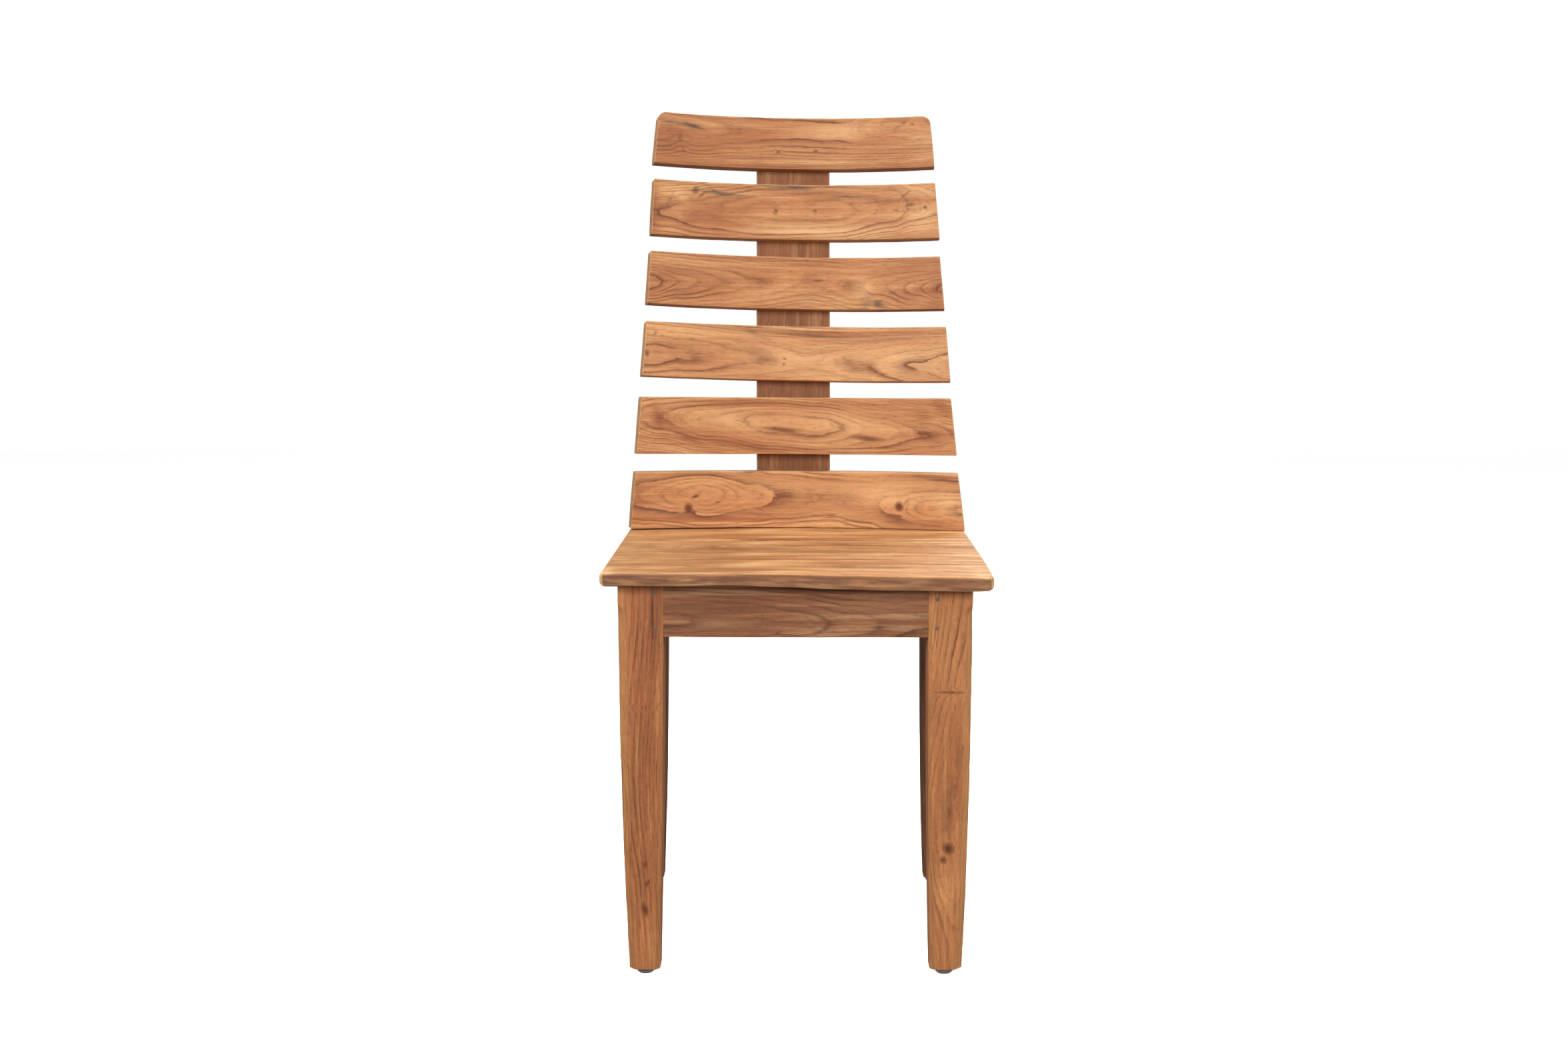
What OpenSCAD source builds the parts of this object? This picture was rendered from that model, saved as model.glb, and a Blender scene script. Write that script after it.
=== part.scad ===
// Dining chair with a fishbone back: four tapered legs joined by pegged aprons, a seat of
// edge-glued planks, and six bowed slats screwed to one reclined spine behind the seat.
// Millimetres. +Z is up, the front faces -Y, and the origin is on the floor under the
// middle of the chair. Left is the -X side and right is the +X side.

/* [Seat] */
// Width of the seat at its front edge
seat_w = 440; // [360:1:530]
// Width of the seat at its rear edge
seat_rear_w = 435; // [360:1:530]
// Depth of the seat, from its front edge to its rear edge
seat_d = 437; // [364:1:530]
// Thickness of the seat planks
seat_t = 18; // [14:0.5:24]
// Height of the seat's top above the floor
seat_h = 468.5; // [380:0.5:560]
// Width of the front plank
plank_1_w = 94; // [60:1:115]
// Width of the second plank
plank_2_w = 83; // [60:1:100]
// Width of the third plank, the rear plank takes what is left
plank_3_w = 108; // [60:1:130]
// Radius of the seat's front corners
seat_front_corner_r = 9; // [1:0.5:30]
// Radius of the seat's rear corners
seat_rear_corner_r = 3; // [1:0.5:20]
// How far the seat stands past the front legs
front_overhang = 18.4; // [5:0.1:30]

/* [Legs] */
// Distance over the outer faces of the front legs
front_leg_spread = 398; // [320:1:430]
// Width of a front leg at its top
front_leg_w = 50; // [42:0.5:60]
// Distance over the outer faces of the rear legs
rear_leg_spread = 406; // [320:1:430]
// Width of a rear leg at its top
rear_leg_w = 40; // [34:0.5:50]
// Depth of every leg at its top, from front to back
leg_d = 50; // [42:0.5:60]
// How far a front leg's outer face tapers in at the foot
front_outer_taper = 9; // [0:0.5:12]
// How far a front leg's inner face tapers in at the foot
front_inner_taper = 4; // [0:0.5:8]
// How far a rear leg's outer face tapers in at the foot
rear_outer_taper = 3; // [0:0.5:5]
// How far a rear leg's inner face tapers in at the foot
rear_inner_taper = 7; // [0:0.5:8]
// How far a leg's back face tapers in at the foot
depth_taper = 10; // [0:0.5:14]
// Width of the worn corners at the feet
foot_chamfer = 7; // [2:0.5:9]
// Width of the worn corners at the top of the legs
top_chamfer = 1.5; // [0.5:0.1:4]

/* [Aprons] */
// Height of the aprons
apron_h = 58; // [48:1:80]
// Thickness of the aprons
apron_t = 21; // [17:0.5:25]
// How far an apron's outer face stands back from the legs
apron_recess = 1.6; // [0:0.1:4]
// Thickness of the tenons
tenon_t = 10; // [7:0.5:12]
// Length of the tenons
tenon_l = 25; // [20:1:28]
// Shoulder above and below a tenon
tenon_shoulder = 5; // [3:0.5:8]
// Free depth left behind a tenon in its mortise
mortise_gap = 2; // [0.5:0.5:4]
// Diameter of the pegs
peg_dia = 6; // [4:0.5:8]
// Length of the pegs
peg_l = 30; // [24:1:34]
// Distance of the pegs from the shoulder line
peg_edge = 9.5; // [7:0.5:14]
// Distance between the two pegs of a joint
peg_pitch = 36; // [20:1:38]

/* [Corner blocks] */
// Length of a block along each apron
block_reach = 45; // [35:1:60]
// Height of a block
block_h = 38; // [34:1:42]

/* [Spine] */
// Width of the spine
spine_w = 96; // [70:1:130]
// Thickness of the spine
spine_t = 25; // [20:0.5:35]
// How far the spine's top end stops below the top of the highest slat
spine_top_inset = 12; // [2:1:25]

/* [Slats] */
// Width of the back at the top of the highest slat
back_top_w = 360; // [300:1:440]
// Width of the back at the foot of the lowest slat
back_foot_w = 434; // [340:1:520]
// How far the sides of the back are hollowed at half height
side_hollow = 4.3; // [0:0.1:8]
// Thickness of the slats
slat_t = 21; // [17:0.5:26]
// How far a slat's ends stand in front of its middle
slat_bow = 27; // [10:0.5:40]
// Height of slat 1, the highest
slat_1_h = 69.3; // [50:0.1:90]
// Height of slat 2
slat_2_h = 74.1; // [50:0.1:90]
// Height of slat 3
slat_3_h = 69.3; // [50:0.1:90]
// Height of slat 4
slat_4_h = 72.1; // [50:0.1:90]
// Height of slat 5
slat_5_h = 74.5; // [50:0.1:90]
// Height of slat 6, the lowest
slat_6_h = 74; // [50:0.1:90]
// Gap between slats 1 and 2
gap_1_2 = 19.2; // [10:0.1:35]
// Gap between slats 2 and 3
gap_2_3 = 21.4; // [10:0.1:35]
// Gap between slats 3 and 4
gap_3_4 = 21; // [10:0.1:35]
// Gap between slats 4 and 5
gap_4_5 = 19.3; // [10:0.1:35]
// Gap between slats 5 and 6
gap_5_6 = 19; // [10:0.1:35]
// Gap between slat 6 and the seat
seat_gap = 2.4; // [1.5:0.1:10]
// Recline of slats 1, 2 and 3, in degrees
back_recline = 10; // [4:0.1:14]
// Recline of slat 4, in degrees
slat_4_recline = 8.4; // [2:0.1:13]
// Recline of slat 5, in degrees
slat_5_recline = 3.2; // [0:0.1:8]
// How far slats 1 and 2 hang out of level, in degrees
upper_tilt = 0.74; // [0:0.01:1]
// How far slats 3 and 4 hang out of level, in degrees
middle_tilt = 1.05; // [0:0.01:1.2]
// How far slats 5 and 6 hang out of level, in degrees
lower_tilt = 0.2; // [0:0.01:0.3]
// Radius of the top corners of slat 1
crest_corner_r = 13; // [2:0.5:25]
// Radius of the other slat corners
slat_corner_r = 3; // [1:0.5:8]

/* [Fixings] */
// Diameter of the wooden plugs over the screws
plug_dia = 8; // [7.5:0.5:12]
// Depth of the plugs
plug_l = 6; // [4:0.5:8]
// Diameter of the screw heads
screw_head_dia = 7; // [6:0.2:7.4]
// Height of the countersunk screw heads
screw_head_h = 2.6; // [2:0.1:3.5]
// Diameter of the screw shanks
screw_dia = 4; // [3:0.1:4.5]
// Length of the screws that hold the slats
slat_screw = 28; // [24:1:32]
// Length of the screws that hold the spine's foot
spine_screw = 36; // [30:1:38]
// Length of the screws in the corner blocks
block_screw = 36; // [32:1:38]
// Length of the screws that hold the seat
seat_screw = 30; // [22:1:32]
// Depth of the pocket over a seat screw's head
seat_screw_pocket = 20; // [18:0.5:24]
// Distance of the slat screws from the middle
slat_screw_x = 26; // [15:0.5:30]
// How far slat 1's screws sit below its mid-height
crest_screw_drop = 10; // [0:0.5:16]
// Distance of the spine's lower screws from the middle
spine_screw_x = 28; // [15:0.5:32]
// Height between the two rows of screws in the rear apron
spine_screw_pitch = 30; // [18:1:36]

/* [Glides] */
// Diameter of the glides
glide_dia = 23; // [18:0.5:24]
// Height of the glides
glide_h = 7; // [3:0.1:9]
// Diameter of the glide's flat bearing ring
glide_flat_dia = 15; // [12:0.5:17]
// How far a glide sits in front of the middle of its foot
glide_forward = 4; // [0:0.5:6]
// Diameter of the nails
nail_dia = 2.4; // [1.8:0.1:3]
// Length of the nails
nail_l = 18; // [12:1:24]

/* [Hidden] */
$fn = 48;
bow_fn = 360;         // facets of the large bow cylinders
leg_rings = 12;       // sections along a leg's taper
corner_steps = 6;     // steps of a rounded corner
past = 1;             // how far a cutting tool passes a face
nail_head_dia = 6;
nail_head_h = 1.2;
nail_tip_dia = 0.4;
nail_sink = 1.5;      // how far a nail's head lies inside the glide
glide_edge = 1;       // how far the glide's edge is rounded in
glide_edge_z = 0.4;   // where that rounding starts and ends, as shares of the glide's height
glide_side_z = 0.75;
block_edge = 8;       // width of a block's cut-off tips
recess_w = 1;         // width of a screw head's cross
recess_l = 4;         // length of a screw head's cross
recess_h = 1.6;       // depth of a screw head's cross

// Heights
seat_under = seat_h - seat_t;
apron_z = seat_under - apron_h;
apron_mid = seat_under - apron_h / 2;

// Slats from the lowest, 6, to the highest, 1: heights, gaps below, reclines and tilts
slat_hs = [slat_1_h, slat_2_h, slat_3_h, slat_4_h, slat_5_h, slat_6_h];
gaps_below = [gap_1_2, gap_2_3, gap_3_4, gap_4_5, gap_5_6, seat_gap];
reclines = [back_recline, back_recline, back_recline, slat_4_recline, slat_5_recline, 0];
tilts = [upper_tilt, upper_tilt, middle_tilt, middle_tilt, lower_tilt, lower_tilt];
function recline_of(i) = reclines[i - 1];
function along(angle) = [sin(angle), cos(angle)];      // up the spine, as [y, z]
function behind(angle) = [cos(angle), -sin(angle)];    // out of the spine's back, as [y, z]
// Recline of the spine in the gap below slat i
function gap_angle(i) = i == 6 ? 0 : (recline_of(i) + recline_of(i + 1)) / 2;
// Foot and top of slat i's seat on the spine's front face, as [y, z] from the seat's front edge
function slat_foot(i) = (i == 6 ? [seat_d, seat_h] : slat_top(i + 1))
    + gaps_below[i - 1] * along(gap_angle(i));
function slat_top(i) = slat_foot(i) + slat_hs[i - 1] * along(recline_of(i));
function slat_mid(i) = (slat_foot(i) + slat_top(i)) / 2;

// Spine
spine_end = slat_top(1) - spine_top_inset * along(back_recline);
spine_end_back = spine_end + spine_t * behind(back_recline);
chair_d = spine_end_back[0];
front_y = -chair_d / 2;             // the seat's front edge
rear_y = front_y + seat_d;          // the seat's rear edge, the frame's back and the spine's front

// Places of the legs and aprons
front_leg_y = front_y + front_overhang;
rear_leg_y = rear_y - leg_d;
front_leg_in = front_leg_spread / 2 - front_leg_w;
rear_leg_in = rear_leg_spread / 2 - rear_leg_w;
front_apron_y = front_leg_y + apron_recess;
side_apron_x = min(front_leg_spread, rear_leg_spread) / 2 - apron_recess - apron_t;
rear_apron_y = rear_y - apron_t;
tenon_h = apron_h - 2 * tenon_shoulder;

// Half width of the back at a height
back_foot_z = seat_h + seat_gap;
back_top_z = slat_top(1)[1];
function back_half(z) =
    let (t = (z - back_foot_z) / (back_top_z - back_foot_z))
    (back_foot_w * (1 - t) + back_top_w * t) / 2 - 4 * side_hollow * t * (1 - t);

// Bow of slat i: radius of its front face, and distance from its back's flat to the bow's centre
function slat_half(i) = back_half(slat_mid(i)[1]);
function bow_r(i) = (pow(slat_half(i), 2) + pow(slat_bow, 2)) / (2 * slat_bow);
function bow_y(i) = sqrt(pow(bow_r(i) + slat_t, 2) - pow(spine_w / 2, 2));

// Points of a rounded corner at c, turning from angle a by a quarter turn
function corner(c, r, a) =
    [for (k = [0:corner_steps]) c + r * [cos(a + 90 * k / corner_steps), sin(a + 90 * k / corner_steps)]];

// Outline with a foot width, a top width and rounded corners, standing on y = 0
function plate(foot_half, top_half, h, foot_r, top_r) = concat(
    corner([foot_half - foot_r, foot_r], foot_r, -90),
    corner([top_half - top_r, h - top_r], top_r, 0),
    corner([-top_half + top_r, h - top_r], top_r, 90),
    corner([-foot_half + foot_r, foot_r], foot_r, 180)
);

// A solid through rings of points that all have the same count
module loft(rings) {
    n = len(rings[0]);
    m = len(rings);
    polyhedron(
        points = [for (ring = rings) for (p = ring) p],
        faces = concat(
            [[for (k = [0:n - 1]) k]],
            [for (j = [0:m - 2]) for (k = [0:n - 1]) each [
                [j * n + k, (j + 1) * n + k, j * n + (k + 1) % n],
                [j * n + (k + 1) % n, (j + 1) * n + k, (j + 1) * n + (k + 1) % n]
            ]],
            [[for (k = [n - 1:-1:0]) (m - 1) * n + k]]
        )
    );
}

// Legs

// A leg on the right side. Its faces run from x_in to x_out and start at y_front.
module leg_blank(x_in, x_out, in_taper, out_taper, y_front, outer_chamfer) {
    levels = concat([for (k = [0:leg_rings]) glide_h + (apron_z - glide_h) * k / leg_rings], [seat_under]);
    loft([for (z = levels)
        let (
            t = max(0, (apron_z - z) / (apron_z - glide_h)),
            x0 = x_in + in_taper * t * t,
            x1 = x_out - out_taper * t * t,
            y0 = y_front,
            y1 = y_front + leg_d - depth_taper * t * t,
            c = top_chamfer + (foot_chamfer - top_chamfer) * t,
            co = z >= seat_under ? top_chamfer : max(c, outer_chamfer)
        )
        [
            [x0 + c, y0, z], [x1 - co, y0, z], [x1, y0 + co, z], [x1, y1 - c, z],
            [x1 - c, y1, z], [x0 + c, y1, z], [x0, y1 - c, z], [x0, y0 + c, z]
        ]
    ]);
}

module front_leg(side) {
    color("peru") difference() {
        mirror([side < 0 ? 1 : 0, 0, 0])
            leg_blank(front_leg_in, front_leg_spread / 2, front_inner_taper, front_outer_taper,
                front_leg_y, foot_chamfer);
        front_tenons(mortise_gap);
        side_tenons(mortise_gap);
        front_pegs();
        side_pegs();
        block_screw_forms();
        nail_forms();
    }
}

module rear_leg(side) {
    color("sienna") difference() {
        mirror([side < 0 ? 1 : 0, 0, 0])
            leg_blank(rear_leg_in, rear_leg_spread / 2, rear_inner_taper, rear_outer_taper,
                rear_leg_y, top_chamfer);
        rear_tenons(mortise_gap);
        side_tenons(mortise_gap);
        rear_pegs();
        side_pegs();
        block_screw_forms();
        nail_forms();
    }
}

// Aprons and their tenons. A mortise is the tenon made longer by extra.

module cross_tenons(leg_in, apron_y, extra) {
    half = leg_in + tenon_l + extra;
    translate([-half, apron_y + (apron_t - tenon_t) / 2, apron_z + tenon_shoulder])
        cube([2 * half, tenon_t, tenon_h]);
}

module front_tenons(extra = 0) {
    cross_tenons(front_leg_in, front_apron_y, extra);
}

module rear_tenons(extra = 0) {
    cross_tenons(rear_leg_in, rear_apron_y, extra);
}

module side_tenons(extra = 0) {
    start = front_leg_y + leg_d - tenon_l - extra;
    end = rear_leg_y + tenon_l + extra;
    for (side = [-1, 1])
        translate([side * (side_apron_x + apron_t / 2) - tenon_t / 2, start, apron_z + tenon_shoulder])
            cube([tenon_t, end - start, tenon_h]);
}

module front_apron() {
    color("saddlebrown") difference() {
        union() {
            translate([-front_leg_in, front_apron_y, apron_z])
                cube([2 * front_leg_in, apron_t, apron_h]);
            front_tenons();
        }
        front_pegs();
    }
}

module rear_apron() {
    color("saddlebrown") difference() {
        union() {
            translate([-rear_leg_in, rear_apron_y, apron_z])
                cube([2 * rear_leg_in, apron_t, apron_h]);
            rear_tenons();
        }
        rear_pegs();
        spine_screw_forms();
    }
}

module side_apron(side) {
    start = front_leg_y + leg_d;
    color("saddlebrown") difference() {
        union() {
            translate([side * (side_apron_x + apron_t / 2) - apron_t / 2, start, apron_z])
                cube([apron_t, rear_leg_y - start, apron_h]);
            intersection() {
                side_tenons();
                translate([side < 0 ? -seat_w : 0, front_y, 0]) cube([seat_w, seat_d, seat_h]);
            }
        }
        side_pegs();
    }
}

// Pegs through the joints, one pair for each tenon

module peg() {
    cylinder(d = peg_dia, h = peg_l);
}

module peg_rows() {
    for (up = [-1, 1]) translate([0, 0, apron_mid + up * peg_pitch / 2]) children();
}

module front_pegs() {
    peg_rows()
        for (side = [-1, 1])
            translate([side * (front_leg_in + peg_edge), front_leg_y, 0]) rotate([-90, 0, 0]) peg();
}

module rear_pegs() {
    peg_rows()
        for (side = [-1, 1])
            translate([side * (rear_leg_in + peg_edge), rear_y, 0]) rotate([90, 0, 0]) peg();
}

module side_pegs() {
    peg_rows()
        for (side = [-1, 1]) {
            translate([side * front_leg_spread / 2, front_leg_y + leg_d - peg_edge, 0])
                rotate([0, -side * 90, 0]) peg();
            translate([side * rear_leg_spread / 2, rear_leg_y + peg_edge, 0])
                rotate([0, -side * 90, 0]) peg();
        }
}

// Seat planks

function plank_start(i) = [0, plank_1_w, plank_1_w + plank_2_w, plank_1_w + plank_2_w + plank_3_w, seat_d][i - 1];

module seat_plank(i) {
    color("burlywood") difference() {
        translate([0, front_y, seat_under])
            linear_extrude(seat_t)
                intersection() {
                    polygon(plate(seat_w / 2, seat_rear_w / 2, seat_d, seat_front_corner_r, seat_rear_corner_r));
                    translate([-seat_w, plank_start(i)])
                        square([2 * seat_w, plank_start(i + 1) - plank_start(i)]);
                }
        seat_screw_forms();
        spine_screw_forms();
    }
}

// Spine and slats

module back_spine() {
    order = [6, 5, 4, 3, 2, 1];
    front_face = concat([[seat_d, apron_z]], [for (i = order) each [slat_foot(i), i == 1 ? spine_end : slat_top(i)]]);
    back_face = concat(
        [[seat_d + spine_t, apron_z]],
        [for (i = order) each [
            slat_foot(i) + spine_t * behind(recline_of(i)),
            (i == 1 ? spine_end : slat_top(i)) + spine_t * behind(recline_of(i))
        ]]
    );
    n = len(back_face);
    color("sienna") difference() {
        translate([-spine_w / 2, front_y, 0])
            rotate([90, 0, 90])
                linear_extrude(spine_w)
                    polygon(concat(front_face, [for (k = [n - 1:-1:0]) back_face[k]]));
        spine_screw_forms();
        spine_plug_forms();
        slat_screw_forms();
    }
}

// Places children at slat i's seat on the spine, with y out of its back and z up the spine
module at_slat(i) {
    translate([0, front_y + slat_mid(i)[0], slat_mid(i)[1]])
        rotate([-recline_of(i), 0, 0])
            rotate([0, tilts[i - 1], 0])
                children();
}

module slat_board(i) {
    h = slat_hs[i - 1];
    deep = slat_bow + 2 * slat_t;
    translate([0, 0, -h / 2]) intersection() {
        translate([0, -bow_y(i), 0]) difference() {
            cylinder(r = bow_r(i) + slat_t, h = h, $fn = bow_fn);
            translate([0, 0, -past]) cylinder(r = bow_r(i), h = h + 2 * past, $fn = bow_fn);
        }
        rotate([90, 0, 0])
            linear_extrude(deep)
                polygon(plate(back_half(slat_foot(i)[1]), back_half(slat_top(i)[1]), h,
                    slat_corner_r, i == 1 ? crest_corner_r : slat_corner_r));
    }
}

module back_slat(i) {
    color(i % 2 == 0 ? "peru" : "chocolate") difference() {
        at_slat(i) slat_board(i);
        slat_screw_forms();
        slat_plug_forms();
    }
}

// Screws, plugs and nails

// A countersunk screw with its head's top at z = 0 and its point down, as a plain form
module screw_form(l) {
    r = screw_dia / 2;
    rotate_extrude()
        polygon([[0, 0], [screw_head_dia / 2, 0], [r, -screw_head_h], [r, -l + screw_dia], [0, -l]]);
}

module screw(l) {
    difference() {
        screw_form(l);
        for (turn = [0, 90])
            rotate([0, 0, turn])
                translate([-recess_l / 2, -recess_w / 2, -recess_h])
                    cube([recess_l, recess_w, recess_h + past]);
    }
}

// Children at each slat screw's head, pointing down the screw along -Z
module at_slat_screws() {
    for (i = [1:6])
        at_slat(i)
            for (side = [-1, 1])
                translate([side * slat_screw_x, bow_r(i) - bow_y(i) + plug_l, i == 1 ? -crest_screw_drop : 0])
                    rotate([90, 0, 0])
                        children();
}

module slat_screw_forms() {
    at_slat_screws() screw_form(slat_screw);
}

module slat_plug_forms() {
    at_slat_screws() cylinder(d = plug_dia, h = 2 * plug_l);
}

module slat_plugs() {
    color("maroon") for (i = [1:6])
        intersection() {
            at_slat(i) slat_board(i);
            slat_plug_forms();
        }
}

// Children at each screw head in the spine's foot: two rows in the apron, one in the seat's edge
module at_spine_screws() {
    rows = [apron_mid - spine_screw_pitch / 2, apron_mid + spine_screw_pitch / 2, seat_under + seat_t / 2];
    for (z = rows)
        for (side = [-1, 1])
            translate([side * spine_screw_x, rear_y + spine_t - plug_l, z])
                rotate([-90, 0, 0])
                    children();
}

module spine_screw_forms() {
    at_spine_screws() screw_form(spine_screw);
}

module spine_plug_forms() {
    at_spine_screws() cylinder(d = plug_dia, h = plug_l);
}

// Corner blocks, cut around the legs

// Inner corner of the frame at a leg, and where the aprons' inner faces run
module block_outline(leg_in, leg_face, apron_face) {
    polygon([
        [leg_in - block_reach, apron_face],
        [leg_in, apron_face],
        [leg_in, leg_face],
        [side_apron_x, leg_face],
        [side_apron_x, leg_face + block_reach],
        [side_apron_x - block_edge, leg_face + block_reach],
        [leg_in - block_reach, apron_face + block_edge]
    ]);
}

module corner_block(front, side) {
    color("tan") difference() {
        translate([0, 0, seat_under - block_h])
            mirror([side < 0 ? 1 : 0, 0, 0])
                linear_extrude(block_h)
                    if (front)
                        block_outline(front_leg_in, front_leg_y + leg_d, front_apron_y + apron_t);
                    else
                        mirror([0, 1])
                            block_outline(rear_leg_in, -rear_leg_y, -rear_apron_y);
        seat_screw_forms();
        seat_screw_pockets();
        block_screw_forms();
    }
}

// Point of a block's slanted face that is square in front of the leg's inner corner,
// for a corner given as for block_outline
function slant_foot(leg_in, leg_face, apron_face) =
    let (
        low = [leg_in - block_reach, apron_face + block_edge],
        high = [side_apron_x - block_edge, leg_face + block_reach],
        way = (high - low) / norm(high - low)
    )
    low + (([leg_in, leg_face] - low) * way) * way;
front_slant = slant_foot(front_leg_in, front_leg_y + leg_d, front_apron_y + apron_t);
rear_slant = slant_foot(rear_leg_in, -rear_leg_y, -rear_apron_y);

// Children at each block's screw head, aimed along -Z at the leg's inner corner
module at_block_screws() {
    z = seat_under - block_h / 2;
    for (side = [-1, 1]) {
        aim_screw([side * front_slant[0], front_slant[1]], [side * front_leg_in, front_leg_y + leg_d], z) children();
        aim_screw([side * rear_slant[0], -rear_slant[1]], [side * rear_leg_in, rear_leg_y], z) children();
    }
}

// Children at a point, turned so that -Z runs towards the target in plan
module aim_screw(from, target, z) {
    run = target - from;
    translate([from[0], from[1], z])
        rotate([0, 0, atan2(run[1], run[0])])
            rotate([0, -90, 0])
                children();
}

module block_screw_forms() {
    at_block_screws() screw_form(block_screw);
}

// Children at each seat screw's head, pointing up along its own -Z into the seat
module at_seat_screws() {
    z = seat_under - block_h + seat_screw_pocket;
    for (side = [-1, 1]) {
        translate([side * (side_apron_x - block_edge), front_leg_y + leg_d + block_reach / 2, z])
            rotate([180, 0, 0]) children();
        translate([side * (side_apron_x - block_edge), rear_leg_y - block_reach / 2, z])
            rotate([180, 0, 0]) children();
    }
}

module seat_screw_forms() {
    at_seat_screws() screw_form(seat_screw);
}

module seat_screw_pockets() {
    at_seat_screws() cylinder(d = screw_head_dia, h = block_h);
}

// Glides and their nails

function foot_mid_x(x_in, x_out, in_taper, out_taper) = (x_in + in_taper + x_out - out_taper) / 2;
front_foot_x = foot_mid_x(front_leg_in, front_leg_spread / 2, front_inner_taper, front_outer_taper);
rear_foot_x = foot_mid_x(rear_leg_in, rear_leg_spread / 2, rear_inner_taper, rear_outer_taper);
foot_half_d = (leg_d - depth_taper) / 2;
function foot_place(front, side) = front
    ? [side * front_foot_x, front_leg_y + foot_half_d - glide_forward, 0]
    : [side * rear_foot_x, rear_leg_y + foot_half_d - glide_forward, 0];

module glide(front, side) {
    color("dimgray") difference() {
        translate(foot_place(front, side))
            rotate_extrude()
                polygon([
                    [0, 0], [glide_flat_dia / 2, 0], [glide_dia / 2 - glide_edge, glide_h * glide_edge_z],
                    [glide_dia / 2, glide_h * glide_side_z], [glide_dia / 2, glide_h], [0, glide_h]
                ]);
        nail_forms();
        translate(foot_place(front, side) - [0, 0, past])
            cylinder(d = nail_head_dia, h = nail_sink + past);
    }
}

module nail_forms() {
    for (front = [true, false])
        for (side = [-1, 1])
            translate(foot_place(front, side) + [0, 0, nail_sink]) {
                cylinder(d = nail_head_dia, h = nail_head_h);
                cylinder(d = nail_dia, h = nail_l - nail_dia);
                translate([0, 0, nail_l - nail_dia]) cylinder(d1 = nail_dia, d2 = nail_tip_dia, h = nail_dia);
            }
}

front_leg(-1);  // front_leg_left
front_leg(1);  // front_leg_right
rear_leg(-1);  // rear_leg_left
rear_leg(1);  // rear_leg_right
front_apron();
rear_apron();
side_apron(-1);  // side_apron_left
side_apron(1);  // side_apron_right
for (i = [1:4]) seat_plank(i);
back_spine();
for (i = [1:6]) back_slat(i);
corner_block(true, -1);  // corner_block_front_left
corner_block(true, 1);  // corner_block_front_right
corner_block(false, -1);  // corner_block_rear_left
corner_block(false, 1);  // corner_block_rear_right
color("dimgray") front_pegs();  // front_joint_pegs
color("dimgray") side_pegs();  // side_joint_pegs
color("dimgray") rear_pegs();  // rear_joint_pegs
color("silver") at_slat_screws() screw(slat_screw);  // slat_screws
slat_plugs();
color("silver") at_spine_screws() screw(spine_screw);  // spine_screws
color("maroon") spine_plug_forms();  // spine_plugs
color("silver") at_block_screws() screw(block_screw);  // corner_block_screws
color("silver") at_seat_screws() screw(seat_screw);  // seat_screws
glide(true, -1);  // glide_front_left
glide(true, 1);  // glide_front_right
glide(false, -1);  // glide_rear_left
glide(false, 1);  // glide_rear_right
color("silver") nail_forms();  // glide_nails
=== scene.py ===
import math
import bpy
import numpy as np
from mathutils import Matrix, Vector


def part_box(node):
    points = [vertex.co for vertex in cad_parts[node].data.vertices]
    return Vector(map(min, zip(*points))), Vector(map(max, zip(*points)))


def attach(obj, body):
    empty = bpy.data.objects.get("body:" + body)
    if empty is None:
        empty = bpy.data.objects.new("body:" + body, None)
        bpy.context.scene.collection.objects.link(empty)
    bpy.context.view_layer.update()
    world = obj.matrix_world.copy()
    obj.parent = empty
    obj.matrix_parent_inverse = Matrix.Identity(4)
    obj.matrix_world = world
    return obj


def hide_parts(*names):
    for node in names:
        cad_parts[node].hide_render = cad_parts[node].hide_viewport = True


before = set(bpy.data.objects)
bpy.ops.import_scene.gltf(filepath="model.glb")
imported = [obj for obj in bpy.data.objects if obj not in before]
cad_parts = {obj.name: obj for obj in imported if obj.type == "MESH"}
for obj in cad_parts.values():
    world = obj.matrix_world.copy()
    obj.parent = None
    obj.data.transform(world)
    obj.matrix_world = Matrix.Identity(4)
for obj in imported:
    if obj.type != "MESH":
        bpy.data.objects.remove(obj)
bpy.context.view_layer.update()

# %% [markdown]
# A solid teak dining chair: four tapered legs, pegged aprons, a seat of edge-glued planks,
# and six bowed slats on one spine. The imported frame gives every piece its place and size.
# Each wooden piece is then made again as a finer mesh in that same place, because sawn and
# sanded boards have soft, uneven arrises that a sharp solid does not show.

MM = 0.001


def box_mm(node):
    """Lowest and highest corner of a frame node, in millimetres."""
    low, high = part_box(node)
    return np.array(low) / MM, np.array(high) / MM


# %% [markdown]
# A colour picker gives sRGB values, and shaders work in linear light. One function turns a hex
# colour into linear numbers, so that every colour below can be written the way a maker reads it.

# %% Colour from a hex value
def linear(code):
    """RGBA in linear light from an sRGB hex code."""
    parts = [int(code[i:i + 2], 16) / 255 for i in (1, 3, 5)]
    return [p / 12.92 if p <= 0.04045 else ((p + 0.055) / 1.055) ** 2.4 for p in parts] + [1.0]


print("oiled teak in linear light:", [round(v, 3) for v in linear("#C68C61")])

# %% [markdown]
# Node trees, for shapes and for materials alike, are nodes with settings and with sockets that
# hold a value or a link. One small helper adds a node with both, which keeps each tree short
# enough to read from top to bottom.

# %% Add a node
def add_node(tree, kind, settings=None, inputs=None):
    """Adds a node; inputs maps a socket's name or number to a value or to another node's output."""
    made = tree.nodes.new(kind)
    for name, value in (settings or {}).items():
        setattr(made, name, value)
    for key, value in (inputs or {}).items():
        socket = made.inputs[key]
        if isinstance(value, bpy.types.NodeSocket):
            tree.links.new(value, socket)
        else:
            socket.default_value = value
    return made


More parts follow.
